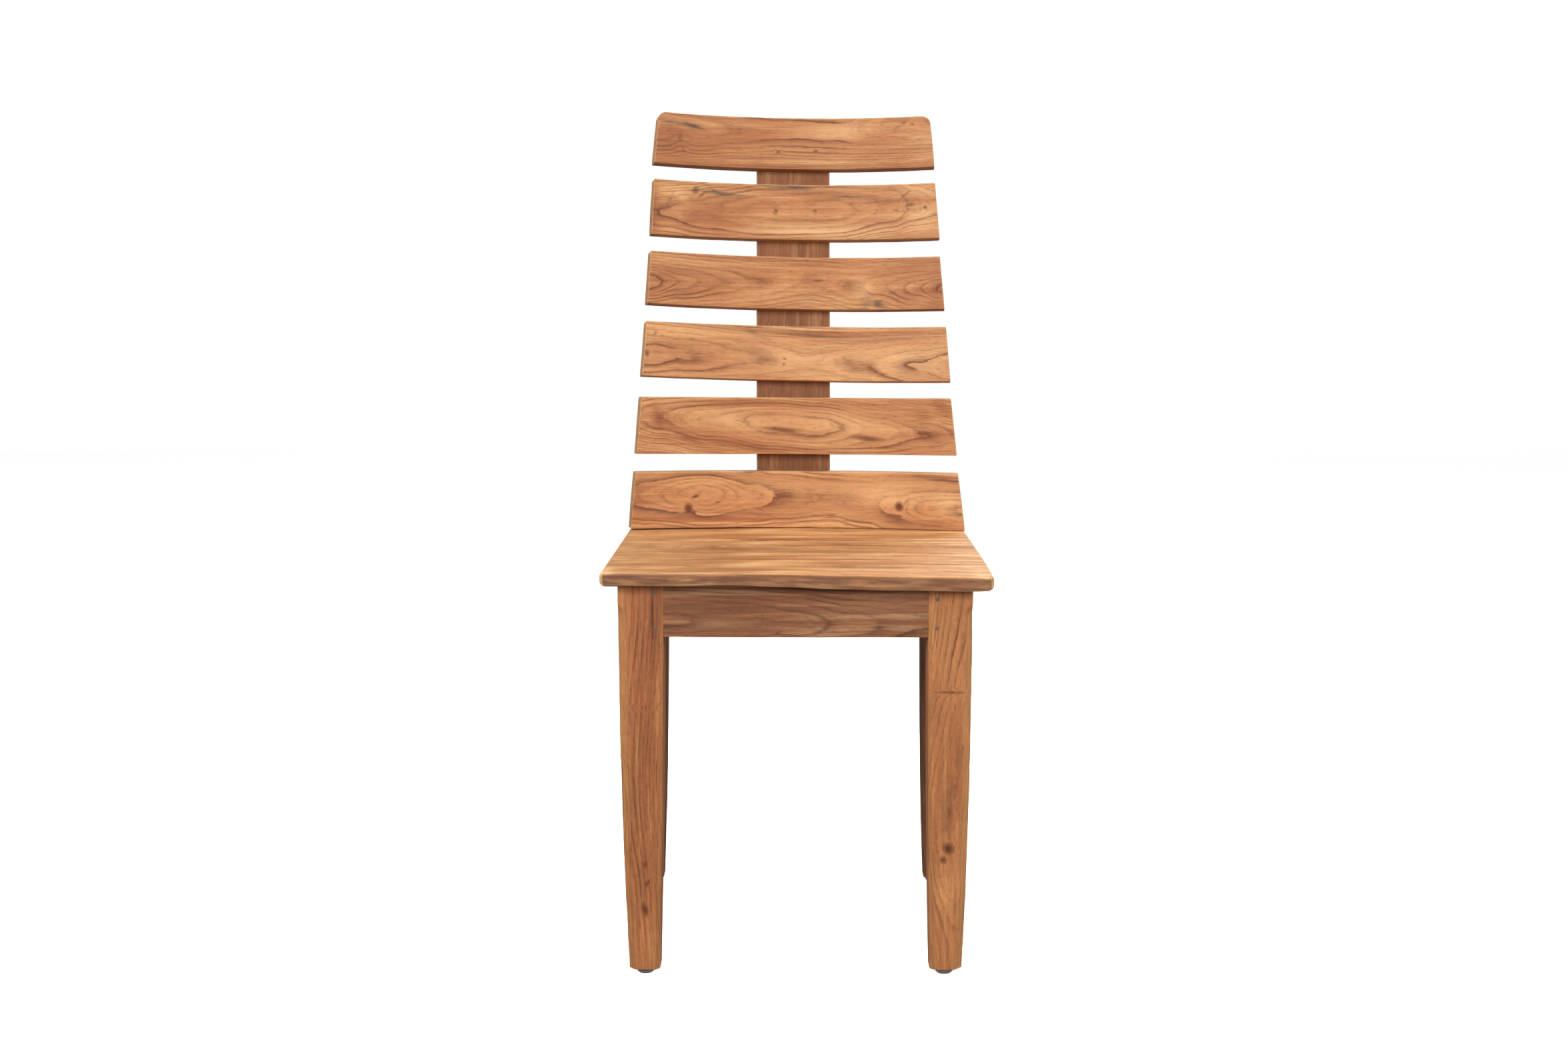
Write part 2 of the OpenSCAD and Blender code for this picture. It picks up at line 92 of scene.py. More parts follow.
# %% [markdown]
# A sawn board is a block whose edges were eased by hand and have worn since. A Bevel modifier
# would round them all alike. Geometry Nodes can instead pull every point back onto a rounded
# block whose radius wanders with a noise, so that an arris is crisp here and rubbed there. The
# cells crowd towards the edges, where the curve is. The tree also stores where each point lay
# in the straight board, so that the grain can follow a board after it has been bent.

# %% Geometry Nodes tree: an eased board
def board_tree():
    tree = bpy.data.node_groups.new("eased_board", "GeometryNodeTree")
    face = tree.interface
    face.new_socket("Geometry", in_out="OUTPUT", socket_type="NodeSocketGeometry")
    for name, kind, value in (
        ("Size", "NodeSocketVector", (100.0, 20.0, 50.0)),
        ("Cells X", "NodeSocketInt", 50),
        ("Cells Y", "NodeSocketInt", 8),
        ("Cells Z", "NodeSocketInt", 20),
        ("Arris", "NodeSocketFloat", 1.5),
        ("Wear", "NodeSocketFloat", 0.5),
        ("Wave", "NodeSocketFloat", 0.3),
        ("Seed", "NodeSocketFloat", 0.0),
        ("Material", "NodeSocketMaterial", None),
    ):
        socket = face.new_socket(name, in_out="INPUT", socket_type=kind)
        if value is not None:
            socket.default_value = value

    def vector(operation, **inputs):
        numbered = {int(k[1:]): v for k, v in inputs.items()}
        return add_node(tree, "ShaderNodeVectorMath", {"operation": operation}, numbered)

    def number(operation, **inputs):
        numbered = {int(k[1:]): v for k, v in inputs.items()}
        return add_node(tree, "ShaderNodeMath", {"operation": operation}, numbered).outputs[0]

    given = tree.nodes.new("NodeGroupInput").outputs
    cube = add_node(tree, "GeometryNodeMeshCube", inputs={
        "Size": (2.0, 2.0, 2.0), "Vertices X": given["Cells X"],
        "Vertices Y": given["Cells Y"], "Vertices Z": given["Cells Z"]})
    point = tree.nodes.new("GeometryNodeInputPosition").outputs[0]
    # Crowd the cells: u becomes u * (1.42 - 0.42 u^2) on each axis
    square = vector("MULTIPLY", i0=point, i1=point).outputs[0]
    bent = vector("MULTIPLY_ADD", i0=square, i1=(-0.42,) * 3, i2=(1.42,) * 3).outputs[0]
    crowded = vector("MULTIPLY", i0=point, i1=bent).outputs[0]
    half = vector("SCALE", i0=given["Size"])
    half.inputs["Scale"].default_value = 0.5
    flat = vector("MULTIPLY", i0=crowded, i1=half.outputs[0]).outputs[0]
    # The arris radius wanders along the board, and the noise repeats about every 25 mm
    shift = add_node(tree, "ShaderNodeCombineXYZ", inputs={"X": given["Seed"], "Y": given["Seed"]})
    noise_at = vector("MULTIPLY_ADD", i0=flat, i1=(0.04,) * 3, i2=shift.outputs[0]).outputs[0]
    rub = add_node(tree, "ShaderNodeTexNoise", inputs={"Vector": noise_at, "Scale": 1.0, "Detail": 4.0})
    swing = number("MULTIPLY_ADD", i0=rub.outputs[0], i1=4.0, i2=-2.0)
    swing = number("MULTIPLY", i0=swing, i1=given["Wear"])
    swing = number("ADD", i0=swing, i1=1.0)
    swing = number("MAXIMUM", i0=swing, i1=0.3)
    radius = number("MULTIPLY", i0=given["Arris"], i1=swing)
    inner = vector("SUBTRACT", i0=half.outputs[0], i1=radius).outputs[0]
    outer = vector("SCALE", i0=inner)
    outer.inputs["Scale"].default_value = -1.0
    core = vector("MAXIMUM", i0=flat, i1=outer.outputs[0]).outputs[0]
    core = vector("MINIMUM", i0=core, i1=inner).outputs[0]
    out = vector("SUBTRACT", i0=flat, i1=core).outputs[0]
    reach = vector("LENGTH", i0=out).outputs[1]
    way = vector("NORMALIZE", i0=out).outputs[0]
    # The faces are planed by hand, so they rise and fall a little over a hand's width
    long_at = vector("MULTIPLY_ADD", i0=flat, i1=(0.011, 0.02, 0.02), i2=shift.outputs[0]).outputs[0]
    hand = add_node(tree, "ShaderNodeTexNoise", inputs={"Vector": long_at, "Scale": 1.0, "Detail": 1.0})
    rise = number("SUBTRACT", i0=hand.outputs[0], i1=0.5)
    rise = number("MULTIPLY", i0=rise, i1=given["Wave"])
    rise = number("ADD", i0=rise, i1=radius)
    push = vector("SCALE", i0=way)
    tree.links.new(rise, push.inputs["Scale"])
    place = vector("ADD", i0=core, i1=push.outputs[0]).outputs[0]
    # 0 on the faces, and 1 on the middle of an arris
    pale_edges = number("DIVIDE", i0=reach, i1=radius)
    pale_edges = number("MULTIPLY_ADD", i0=pale_edges, i1=2.4, i2=-2.4)
    pale_edges = number("MINIMUM", i0=pale_edges, i1=1.0)
    shape = cube.outputs["Mesh"]
    for name, kind, value in (("fibre", "FLOAT_VECTOR", flat), ("arris", "FLOAT", pale_edges)):
        stored = add_node(tree, "GeometryNodeStoreNamedAttribute",
                          {"data_type": kind, "domain": "POINT"}, {"Geometry": shape, "Name": name})
        tree.links.new(value, stored.inputs["Value"])
        shape = stored.outputs[0]
    moved = add_node(tree, "GeometryNodeSetPosition", inputs={"Geometry": shape, "Position": place})
    smooth = add_node(tree, "GeometryNodeSetShadeSmooth", inputs={"Geometry": moved.outputs[0]})
    real = add_node(tree, "GeometryNodeRealizeInstances", inputs={"Geometry": smooth.outputs[0]})
    coated = add_node(tree, "GeometryNodeSetMaterial", inputs={
        "Geometry": real.outputs[0], "Material": given["Material"]})
    end = tree.nodes.new("NodeGroupOutput")
    tree.links.new(coated.outputs[0], end.inputs[0])
    return tree


EASED_BOARD = board_tree()
print("eased board tree has", len(EASED_BOARD.nodes), "nodes")

# %% [markdown]
# The tree runs as a modifier. Its inputs are set by each socket's identifier, and the evaluated
# result is copied to a plain mesh, after which the modifier can go: what is left is an ordinary
# mesh whose points numpy can move in one step.

# %% Run a tree and keep a plain mesh
def run_tree(name, tree, values, start=None):
    """Makes an object from a Geometry Nodes tree and returns it with a plain mesh."""
    piece = bpy.data.objects.new(name, start or bpy.data.meshes.new(name))
    bpy.context.scene.collection.objects.link(piece)
    modifier = piece.modifiers.new("shape", "NODES")
    modifier.node_group = tree
    for socket in tree.interface.items_tree:
        if socket.in_out == "INPUT" and socket.name in values:
            modifier[socket.identifier] = values[socket.name]
    graph = bpy.context.evaluated_depsgraph_get()
    plain = bpy.data.meshes.new_from_object(piece.evaluated_get(graph), depsgraph=graph)
    piece.modifiers.remove(modifier)
    piece.data = plain
    plain.name = name
    return piece


def read(mesh, attribute, width):
    """A point attribute, or the positions, as a numpy array."""
    found = np.zeros(len(mesh.vertices) * width, np.float32)
    source = mesh.attributes[attribute].data
    source.foreach_get("vector" if width == 3 else "value", found)
    return found.reshape(-1, width).astype(float) if width > 1 else found.astype(float)


def write(mesh, attribute, values):
    """Stores one number for each point as an attribute that a material can read."""
    layer = mesh.attributes.get(attribute) or mesh.attributes.new(attribute, "FLOAT", "POINT")
    layer.data.foreach_set("value", np.asarray(values, np.float32))


def board(name, size, cell, arris, wear, wave, seed, material):
    """A straight eased board centred on the origin, in millimetres, x along its grain."""
    cells = [max(4, int(round(s / c)) + 1) for s, c in zip(size, cell)]
    return run_tree(name, EASED_BOARD, {
        "Size": tuple(float(s) for s in size), "Cells X": cells[0], "Cells Y": cells[1],
        "Cells Z": cells[2], "Arris": arris, "Wear": wear, "Wave": wave,
        "Seed": float(seed), "Material": material})


def settle(piece, points, nodes):
    """Puts a piece's points in place, given in millimetres, hangs it on the root body, hides the frame nodes
    it stands for, and prints how near its ends lie to theirs.
    """
    piece.data.vertices.foreach_set("co", (np.asarray(points) * MM).astype(np.float32).ravel())
    piece.data.update()
    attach(piece, "root")
    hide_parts(*nodes)
    boxes = np.array([box_mm(node) for node in nodes])
    target = np.array([boxes[:, 0].min(axis=0), boxes[:, 1].max(axis=0)])
    off = np.abs(np.array([points.min(axis=0), points.max(axis=0)]) - target).max()
    print(f"{piece.name}: {len(points)} points, ends within {off:.1f} mm of {nodes[0]}")


# %% [markdown]
# The figure of a board comes from the tree: growth rings are nested, slightly crooked tubes
# round a heart, and a saw cuts them at some distance from it. A board sawn flat shows nested
# arches, and a bowed slat sawn out of straight stock shows them at both ends, because its face
# comes nearer to the heart there. So the ring number is worked out in space, as the distance
# from the heart divided by the width of a ring, and fibres bulge where they pass a knot.

# %% Growth rings and knots
def eased_between(x, marks):
    """A smooth run through marks of (x, value)."""
    xs = np.array([m[0] for m in marks], float)
    ys = np.array([m[1] for m in marks], float)
    k = np.clip(np.searchsorted(xs, x) - 1, 0, len(xs) - 2)
    t = np.clip((x - xs[k]) / (xs[k + 1] - xs[k]), 0, 1)
    t = t * t * (3 - 2 * t)
    return ys[k] * (1 - t) + ys[k + 1] * t


def blot(along, across, spot):
    """A soft oval of 1 at its middle, for spot = (along, across, half length, half height, turn)."""
    turn = math.radians(spot[4])
    u = (along - spot[0]) * math.cos(turn) + (across - spot[1]) * math.sin(turn)
    v = -(along - spot[0]) * math.sin(turn) + (across - spot[1]) * math.cos(turn)
    return np.exp(-((u / spot[2]) ** 2 + (v / spot[3]) ** 2))


core_ring = 3.5        # width of the rings that lie nearer to the heart than the first given year
knot_reach = 2.4       # how far round a knot fibres bulge, in sizes of the knot
knot_bulge = 0.3       # how much they bulge there, as a share of the knot's half height
year_spread = 0.45     # how unequal good and poor years are
most_years = 200


def year_edges(first, mean):
    """Distances from the heart at which years end: the first as given, then good and poor years."""
    luck = np.random.default_rng(int(10 * mean) + len(first))
    rest = mean * luck.lognormal(-0.1, year_spread, most_years)
    return np.cumsum(np.concatenate([first, rest]))


def figure(mesh, along, across, depth, look):
    """Writes a board's ring number, knots, mineral stains and shades as attributes, from its look."""
    heart = look["heart"]
    from_heart = np.hypot(across - eased_between(along, [(h[0], h[1]) for h in heart]),
                          depth - eased_between(along, [(h[0], h[2]) for h in heart]))
    for spot in look.get("swells", ()):
        from_heart = from_heart + spot[5] * blot(along, across, spot)
    knots = np.zeros(len(along))
    for spot in look.get("knots", ()):
        near = (spot[0], spot[1], spot[2] * knot_reach, spot[3] * knot_reach, spot[4])
        from_heart = from_heart + knot_bulge * spot[3] * blot(along, across, near)
        knots = np.maximum(knots, blot(along, across, spot) * spot[5])
    edges = year_edges(look.get("years", []), look["mean"])
    # The year a ring grew sets how dark it is, so boards whose rings matter name their first year
    ring = np.where(from_heart < edges[0], (from_heart - edges[0]) / core_ring,
                    np.interp(from_heart, edges, np.arange(len(edges))))
    write(mesh, "rings", ring + look.get("born", 0))
    write(mesh, "knots", knots)
    for label in ("stains", "shades"):
        total = np.full(len(along), look.get("tone", 0.0) if label == "shades" else 0.0)
        for spot in look.get(label, ()):
            total = total + blot(along, across, spot) * spot[5]
        write(mesh, label, np.clip(total, -1, 1))


# %% [markdown]
# Teak that has been sanded and oiled is honey brown, with darker lines where each year's growth
# ends, warm pink and yellow patches, and fine open pores along the grain. The material reads
# the ring number for the lines, gives each ring its own strength, and lays streaks and pores
# along the fibre. Worn arrises are paler, and the same pale edge colour is painted on the slats'
# end faces and the legs' chamfers as painted highlight. Knots are darker, and a bump from the
# same lines and pores makes light catch on the grain.

# %% Material: oiled teak
def oiled_teak(name, light, warm, line, knot, streak=1.0, lines=1.0, rough=0.5, grey=0.0,
               edge="#E3B282", broad=1.0, hewn=0.0, patches=1.0):
    """Sanded and oiled reclaimed teak. Colours are hex codes, and all patterns are in millimetres."""
    made = bpy.data.materials.new(name)
    made.use_nodes = True
    tree = made.node_tree
    tree.nodes.clear()

    def math_node(operation, a, b=0.0, c=0.0, clamp=False):
        settings = {"operation": operation, "use_clamp": clamp}
        return add_node(tree, "ShaderNodeMath", settings, {0: a, 1: b, 2: c}).outputs[0]

    def attribute(label):
        return add_node(tree, "ShaderNodeAttribute", {"attribute_name": label}).outputs

    def noise(scale, detail, shift=0.0, at=None):
        spread = add_node(tree, "ShaderNodeVectorMath", {"operation": "MULTIPLY_ADD"},
                          {0: at or fibre, 1: scale, 2: (shift, shift, shift)})
        return add_node(tree, "ShaderNodeTexNoise", inputs={
            "Vector": spread.outputs[0], "Scale": 1.0, "Detail": detail}).outputs[0]

    def ramp(value, *stops):
        made_ramp = add_node(tree, "ShaderNodeValToRGB", inputs={0: value})
        elements = made_ramp.color_ramp.elements
        while len(elements) < len(stops):
            elements.new(0.5)
        for element, (where, shade) in zip(elements, stops):
            element.position = where
            element.color = (shade, shade, shade, 1.0)
        return made_ramp.outputs[0]

    def mix(factor, a, b):
        return add_node(tree, "ShaderNodeMix", {"data_type": "RGBA"}, {0: factor, 6: a, 7: b}).outputs[2]

    straight = attribute("fibre")["Vector"]
    fibre = add_node(tree, "ShaderNodeVectorMath", {"operation": "MULTIPLY"},
                     {0: straight, 1: (1.0, broad, 1.0)}).outputs[0]
    rings = attribute("rings")["Fac"]
    # Rings waver slowly over 80 mm, and their edges are ragged over 2 to 15 mm
    slow = noise((0.012, 0.03, 0.03), 2.0)
    rag = noise((0.05, 0.30, 0.30), 3.0, 7.0)
    year = math_node("ADD", rings, math_node("MULTIPLY_ADD", slow, 0.8, -0.4))
    year = math_node("ADD", year, math_node("MULTIPLY_ADD", rag, 0.34, -0.17))
    part = math_node("FRACT", year)
    whole = math_node("FLOOR", year)
    chance = add_node(tree, "ShaderNodeTexWhiteNoise", {"noise_dimensions": "1D"}, {"W": whole}).outputs
    profile = ramp(part, (0.0, 0.7), (0.06, 1.0), (0.20, 0.55), (0.45, 0.15), (0.82, 0.0), (1.0, 0.5))
    strength = math_node("MULTIPLY_ADD", math_node("POWER", chance[0], 1.5), 0.85, 0.22)
    along_line = ramp(noise((0.012, 0.03, 0.03), 1.0, 13.0), (0.36, 0.30), (0.56, 1.0))
    ring_line = math_node("MULTIPLY", math_node("MULTIPLY", profile, strength), along_line)
    # Two or three faint lines inside each year, which come and go
    inner = math_node("FRACT", math_node("MULTIPLY_ADD", year, 3.0, chance[0]))
    faint = ramp(inner, (0.0, 0.4), (0.15, 0.3), (0.4, 0.0), (0.85, 0.0), (1.0, 0.6))
    broken = ramp(noise((0.015, 0.10, 0.10), 2.0, 3.0), (0.44, 0.0), (0.62, 1.0))
    faint = math_node("MULTIPLY", faint, broken)
    all_lines = math_node("MULTIPLY_ADD", faint, 0.50, ring_line)
    all_lines = math_node("MULTIPLY", all_lines, lines, clamp=True)
    # Each year has a tone of its own, streaks are 1 to 6 mm wide, and patches a hand wide
    tone = ramp(noise((0.009, 0.03, 0.03), 3.0, 5.0), (0.32, 0.0), (0.68, 1.0))
    colour = mix(tone, linear(light), linear(warm))
    band = add_node(tree, "ShaderNodeTexWhiteNoise", {"noise_dimensions": "1D"},
                    {"W": math_node("ADD", whole, 31.5)}).outputs[0]
    colour = mix(math_node("MULTIPLY", band, 0.30 * lines), colour, linear(line))
    fine = noise((0.012, 0.42, 0.42), 4.0, 1.0)
    wide = noise((0.007, 0.12, 0.12), 3.0, 17.0)
    streaks = math_node("MULTIPLY", ramp(fine, (0.46, 0.0), (0.60, 1.0)), 0.36 * streak)
    colour = mix(streaks, colour, linear(line))
    dark_patch = math_node("MULTIPLY", ramp(wide, (0.50, 0.0), (0.64, 1.0)), 0.40 * streak * patches)
    colour = mix(dark_patch, colour, linear(line))
    pale_patch = math_node("MULTIPLY", ramp(wide, (0.34, 1.0), (0.46, 0.0)), 0.50 * streak * patches)
    colour = mix(pale_patch, colour, linear(edge))
    fleck = ramp(noise((0.05, 0.8, 0.8), 2.0, 9.0), (0.50, 0.0), (0.66, 1.0))
    colour = mix(math_node("MULTIPLY", fleck, 0.30), colour, linear(line))
    # The shades darken towards the line colour or pale towards the edge colour. Mostly they are the wood's
    # own tone; on the spine, the front legs and slats 1 and 6 some are painted shade and painted highlight
    shades = attribute("shades")["Fac"]
    uneven = math_node("MULTIPLY_ADD", fine, 1.2, 0.4)
    colour = mix(math_node("MULTIPLY", shades, uneven, clamp=True), colour, linear(line))
    colour = mix(math_node("MULTIPLY", math_node("MULTIPLY", shades, -1.0), uneven, clamp=True),
                 colour, linear(edge))
    colour = mix(math_node("MULTIPLY", all_lines, 0.90, clamp=True), colour, linear(knot))
    # Pores: dark dashes 5 to 10 mm long. Real ones are a third of a millimetre wide, too fine to show,
    # so they are drawn 1 mm wide, thickest after each ring line
    pore = ramp(noise((0.10, 0.95, 0.95), 1.0, 4.0), (0.56, 0.0), (0.66, 1.0))
    pore = math_node("MULTIPLY", pore, ramp(part, (0.0, 1.0), (0.4, 0.55), (1.0, 0.30)))
    colour = mix(math_node("MULTIPLY", pore, 0.42), colour, linear(knot))
    # A knot is a brown eye with a darker, whorled heart
    whorl = noise((0.25, 0.5, 0.5), 3.0, 2.0)
    knots = math_node("ADD", attribute("knots")["Fac"], math_node("MULTIPLY_ADD", whorl, 0.5, -0.25))
    eye = ramp(knots, (0.22, 0.0), (0.50, 0.85), (1.0, 0.95))
    colour = mix(math_node("MULTIPLY", eye, attribute("knots")["Fac"], clamp=True), colour, linear(knot))
    smear = ramp(noise((0.03, 0.45, 0.45), 4.0, 6.0), (0.38, 0.15), (0.62, 1.0))
    stained = math_node("MULTIPLY", attribute("stains")["Fac"], smear, clamp=True)
    colour = mix(stained, colour, linear("#54433A"))
    bloom = ramp(noise((0.02, 0.16, 0.16), 4.0, 8.0), (0.36, 0.50), (0.58, 1.0))
    dull = math_node("ADD", attribute("dull")["Fac"], grey)
    colour = mix(math_node("MULTIPLY", bloom, dull, clamp=True), colour, linear("#7A4F39"))
    # Pale edges: wear on the arrises, and painted highlight on the slats' end faces and the legs' chamfers
    pale_edges = math_node("MULTIPLY", attribute("arris")["Fac"], ramp(rag, (0.30, 0.35), (0.60, 1.0)))
    colour = mix(math_node("MULTIPLY", pale_edges, 0.62), colour, linear(edge))
    hollow = math_node("MULTIPLY_ADD", pore, 0.7, all_lines)
    hollow = math_node("MULTIPLY_ADD", fine, 0.8, hollow)
    hollow = math_node("MULTIPLY_ADD", eye, 0.4, hollow)
    cuts = math_node("MULTIPLY", noise((0.07, 0.13, 0.13), 4.0, 21.0, straight), hewn)
    bump = add_node(tree, "ShaderNodeBump", {"invert": True}, {
        "Strength": 0.5, "Distance": 0.0006, "Height": hollow})
    bump = add_node(tree, "ShaderNodeBump", inputs={
        "Strength": 0.8, "Distance": 0.004, "Height": cuts, "Normal": bump.outputs[0]})
    sheen_map = math_node("MULTIPLY_ADD", all_lines, 0.10, rough)
    sheen_map = math_node("MULTIPLY_ADD", fine, 0.12, sheen_map)
    shader = add_node(tree, "ShaderNodeBsdfPrincipled", inputs={
        "Base Color": colour, "Roughness": sheen_map, "IOR": 1.48, "Specular IOR Level": 0.35,
        "Normal": bump.outputs[0]})
    add_node(tree, "ShaderNodeOutputMaterial", inputs={"Surface": shader.outputs[0]})
    return made


SLAT_TEAK = oiled_teak("oiled_teak_slats", "#DFA66D", "#CB8957", "#955532", "#703D23",
                       edge="#E9B680", streak=0.82, lines=1.12, patches=0.6)
PLUG_TEAK = oiled_teak("oiled_teak_plugs", "#B87A4E", "#A66B42", "#7A4A2C", "#5E361F")
# The seat is seen from low in front, where real streaks are too fine to show, so they are broader
SEAT_TEAK = oiled_teak("oiled_teak_seat", "#F2BA7C", "#DD9C62", "#9A5E34", "#744424",
                       edge="#FBCB92", streak=1.4, lines=0.8, broad=0.38)
LEG_TEAK = oiled_teak("oiled_teak_legs", "#CE8250", "#B87045", "#804A27", "#61351B", edge="#D9995F", hewn=0.5)
# The spine's colours are darker than the slats': partly its own wood, partly painted shade for the slats in
# front of it
SPINE_TEAK_PART_PAINTED_SHADE = oiled_teak("oiled_teak_spine_part_painted_shade", "#AC7048", "#9A5F3B", "#734727", "#54331D", streak=0.6, lines=0.6)
# The rear legs' colours are darker than the front legs': painted shade, for the shadow they stand in under
# the seat and behind the front legs
REAR_LEG_TEAK_PAINTED_SHADE = oiled_teak("teak_rear_legs_painted_shade", "#8E5430", "#7A4529", "#533018", "#3A2010",
                           edge="#A87245", hewn=0.4)
APRON_TEAK = oiled_teak("rough_teak_aprons", "#B5794F", "#9F623F", "#6A4029", "#4C2C1A", edge="#CD9C70",
                        rough=0.62, grey=0.16, streak=1.2, hewn=0.35)
print("wood materials:", [m.name for m in bpy.data.materials if "teak" in m.name])

# %% [markdown]
# The slats are the chair's main shape. Each is sawn to a bow out of straight stock, a little
# shorter than the one below it, and screwed to the front of the spine with its ends towards the
# sitter. The six follow one rule, so one function makes them all: the straight eased board is
# laid on a bow, given its taper and its corners, leaned back and hung where the spine's front
# is. Bending the points keeps the stored fibre, and the rings are read from the bent place.

# %% Slat sizes, from the highest to the lowest
slat_heights = [69.3, 74.1, 69.3, 72.1, 74.5, 74.0]
gaps_below = [19.2, 21.4, 21.0, 19.3, 19.0, 2.4]
reclines = [10.0, 10.0, 10.0, 8.4, 3.2, 0.0]
tilts = [0.74, 0.74, 1.05, 1.05, 0.2, 0.2]
slat_thick = 21.0
slat_bow = 27.0
seat_top = box_mm("seat_plank_4")[1][2]
spine_low, spine_high = box_mm("back_spine")
spine_face = spine_low[1]
spine_width = spine_high[0] - spine_low[0]


def up_spine(angle):
    """A step of 1 up a face that leans back by the angle, as (y, z)."""
    return np.array([math.sin(math.radians(angle)), math.cos(math.radians(angle))])


slat_feet = [None] * 6
slat_tops = [None] * 6
reached = np.array([spine_face, seat_top])
for i in (5, 4, 3, 2, 1, 0):
    lean_below = reclines[i] if i == 5 else (reclines[i] + reclines[i + 1]) / 2
    slat_feet[i] = reached + gaps_below[i] * up_spine(lean_below)
    slat_tops[i] = slat_feet[i] + slat_heights[i] * up_spine(reclines[i])
    reached = slat_tops[i]
# Half the back's width at its foot and its top, and how far its sides hollow in between them
back_foot_half = 217.0
back_top_half = 180.0
side_hollow = 4.3
back_foot_z = slat_feet[5][1]
back_top_z = slat_tops[0][1]


def back_half(z):
    """Half width of the back at a height."""
    t = (z - back_foot_z) / (back_top_z - back_foot_z)
    return back_foot_half * (1 - t) + back_top_half * t - 4 * side_hollow * t * (1 - t)


print("slat feet at z:", [round(float(f[1]), 1) for f in slat_feet])

# %% One bowed slat
front_short = {-1: 5.0, 1: 1.5}      # how far the front face's end stops short of the back face's
hung_slats = []


def bowed_slat(number, radii, ends, look, arris=1.4, wear=0.35, drops=(0.0, 0.0)):
    """One slat. The radii are its top corners', the ends say how much longer the saw left its foot
    and top on the left and on the right, and the drops how far its foot and top edges lie lower."""
    i = number - 1
    height = slat_heights[i]
    half = back_half((slat_feet[i][1] + slat_tops[i][1]) / 2)
    piece = board(f"slat_{number}_wood", (2 * half, slat_thick, height), (1.7, 1.9, 1.7),
                  arris, wear, 0.9, 10 + 3 * number, SLAT_TEAK)
    mesh = piece.data
    x, y, z = read(mesh, "position", 3).T
    # The end faces take the pale edge colour all over: a painted highlight, for the side lamps' light on them
    write(mesh, "arris", np.where(np.abs(x) > half - 0.7, 1.0, read(mesh, "arris", 1)))
    up = (z + height / 2) / height
    behind_face = y + slat_thick / 2
    left = ends[0] * (1 - up) + ends[1] * up
    right = ends[2] * (1 - up) + ends[3] * up
    widest = back_half(slat_feet[i][1]) * (1 - up) + back_half(slat_tops[i][1]) * up
    widest = widest + np.where(x < 0, left, right)
    short = np.where(x < 0, front_short[-1], front_short[1]) * (1 - behind_face / slat_thick)
    x = x / half * (widest - short)
    # Round the top corners: near an end the upper half shrinks along a quarter circle
    for end, radius in zip((-1, 1), radii):
        past = np.clip(end * x - (widest - short - radius), 0, radius)
        drop = radius - np.sqrt(np.maximum(radius ** 2 - past ** 2, 0))
        z = np.where((end * x > 0) & (z > 0), z * (1 - drop / (height / 2)), z)
    z = z - drops[0] * np.clip(-2 * z / height, 0, 1) - drops[1] * np.clip(2 * z / height, 0, 1)
    front_r = (half ** 2 + slat_bow ** 2) / (2 * slat_bow)
    bow_y = math.sqrt((front_r + slat_thick) ** 2 - (spine_width / 2) ** 2)
    y = np.minimum(np.sqrt((front_r + behind_face) ** 2 - x ** 2) - bow_y, 0)
    figure(mesh, x, z, behind_face, look)
    tilt = Matrix.Rotation(math.radians(tilts[i]), 3, "Y")
    turn = Matrix.Rotation(math.radians(-reclines[i]), 3, "X") @ tilt
    middle = (slat_feet[i] + slat_tops[i]) / 2
    hung = Vector((0, middle[0], middle[1]))
    points = np.stack([x, y, z], axis=1) @ np.array(turn).T + np.array(hung)
    settle(piece, points, [f"back_slat_{number}"])
    hung_slats.append((turn, hung, front_r, bow_y, look))


# %% The six slats, each with the figure of its own board
# In slat 1's shades, the dark band along the foot of its face, at (0, -31), is painted shade of its underside
bowed_slat(1, (10, 12), (4.3, 2.8, -0.9, -3.6), {
    "heart": [(-190, 16, 44), (-20, 18, 50), (60, 16, 50), (118, 22, 45), (190, 26, 42)],
    "years": [42, 3, 2.5, 3.9, 3, 3, 2.5, 2, 2], "mean": 1.9, "born": 81, "tone": 0.16,
    "knots": [(-137, 19, 16, 3.2, -12, 0.7), (-150, 2, 5, 8, 0, 0.6), (-146, -12, 4, 6, 10, 0.5),
              (141, 26, 3.5, 2.5, 20, 0.8), (152, 24, 4, 2, -30, 0.8), (-22, -11, 3.4, 2.2, 0, 1.0),
              (27, -9, 3.4, 2.2, 0, 1.0)],
    "stains": [(-150, 22, 22, 3.5, -8, 1.0), (-128, 17, 14, 2, -20, 0.8), (131, 18, 8, 3, 50, 0.6),
               (-60, -20, 60, 1.5, 3, 0.4), (-172, -8, 20, 1.4, 5, 0.5)],
    "shades": [(-160, 0, 40, 40, 0, 0.5), (60, 16, 70, 14, 0, -0.7), (168, -4, 24, 24, 0, -0.4),
               (110, 6, 26, 14, -10, 0.3), (0, -31, 150, 3, 0, 0.45), (0, -24, 140, 2, 0, -0.5),
               (-70, 6, 50, 16, 0, 0.2)]}, arris=1.6, drops=(-1.4, 0.3))
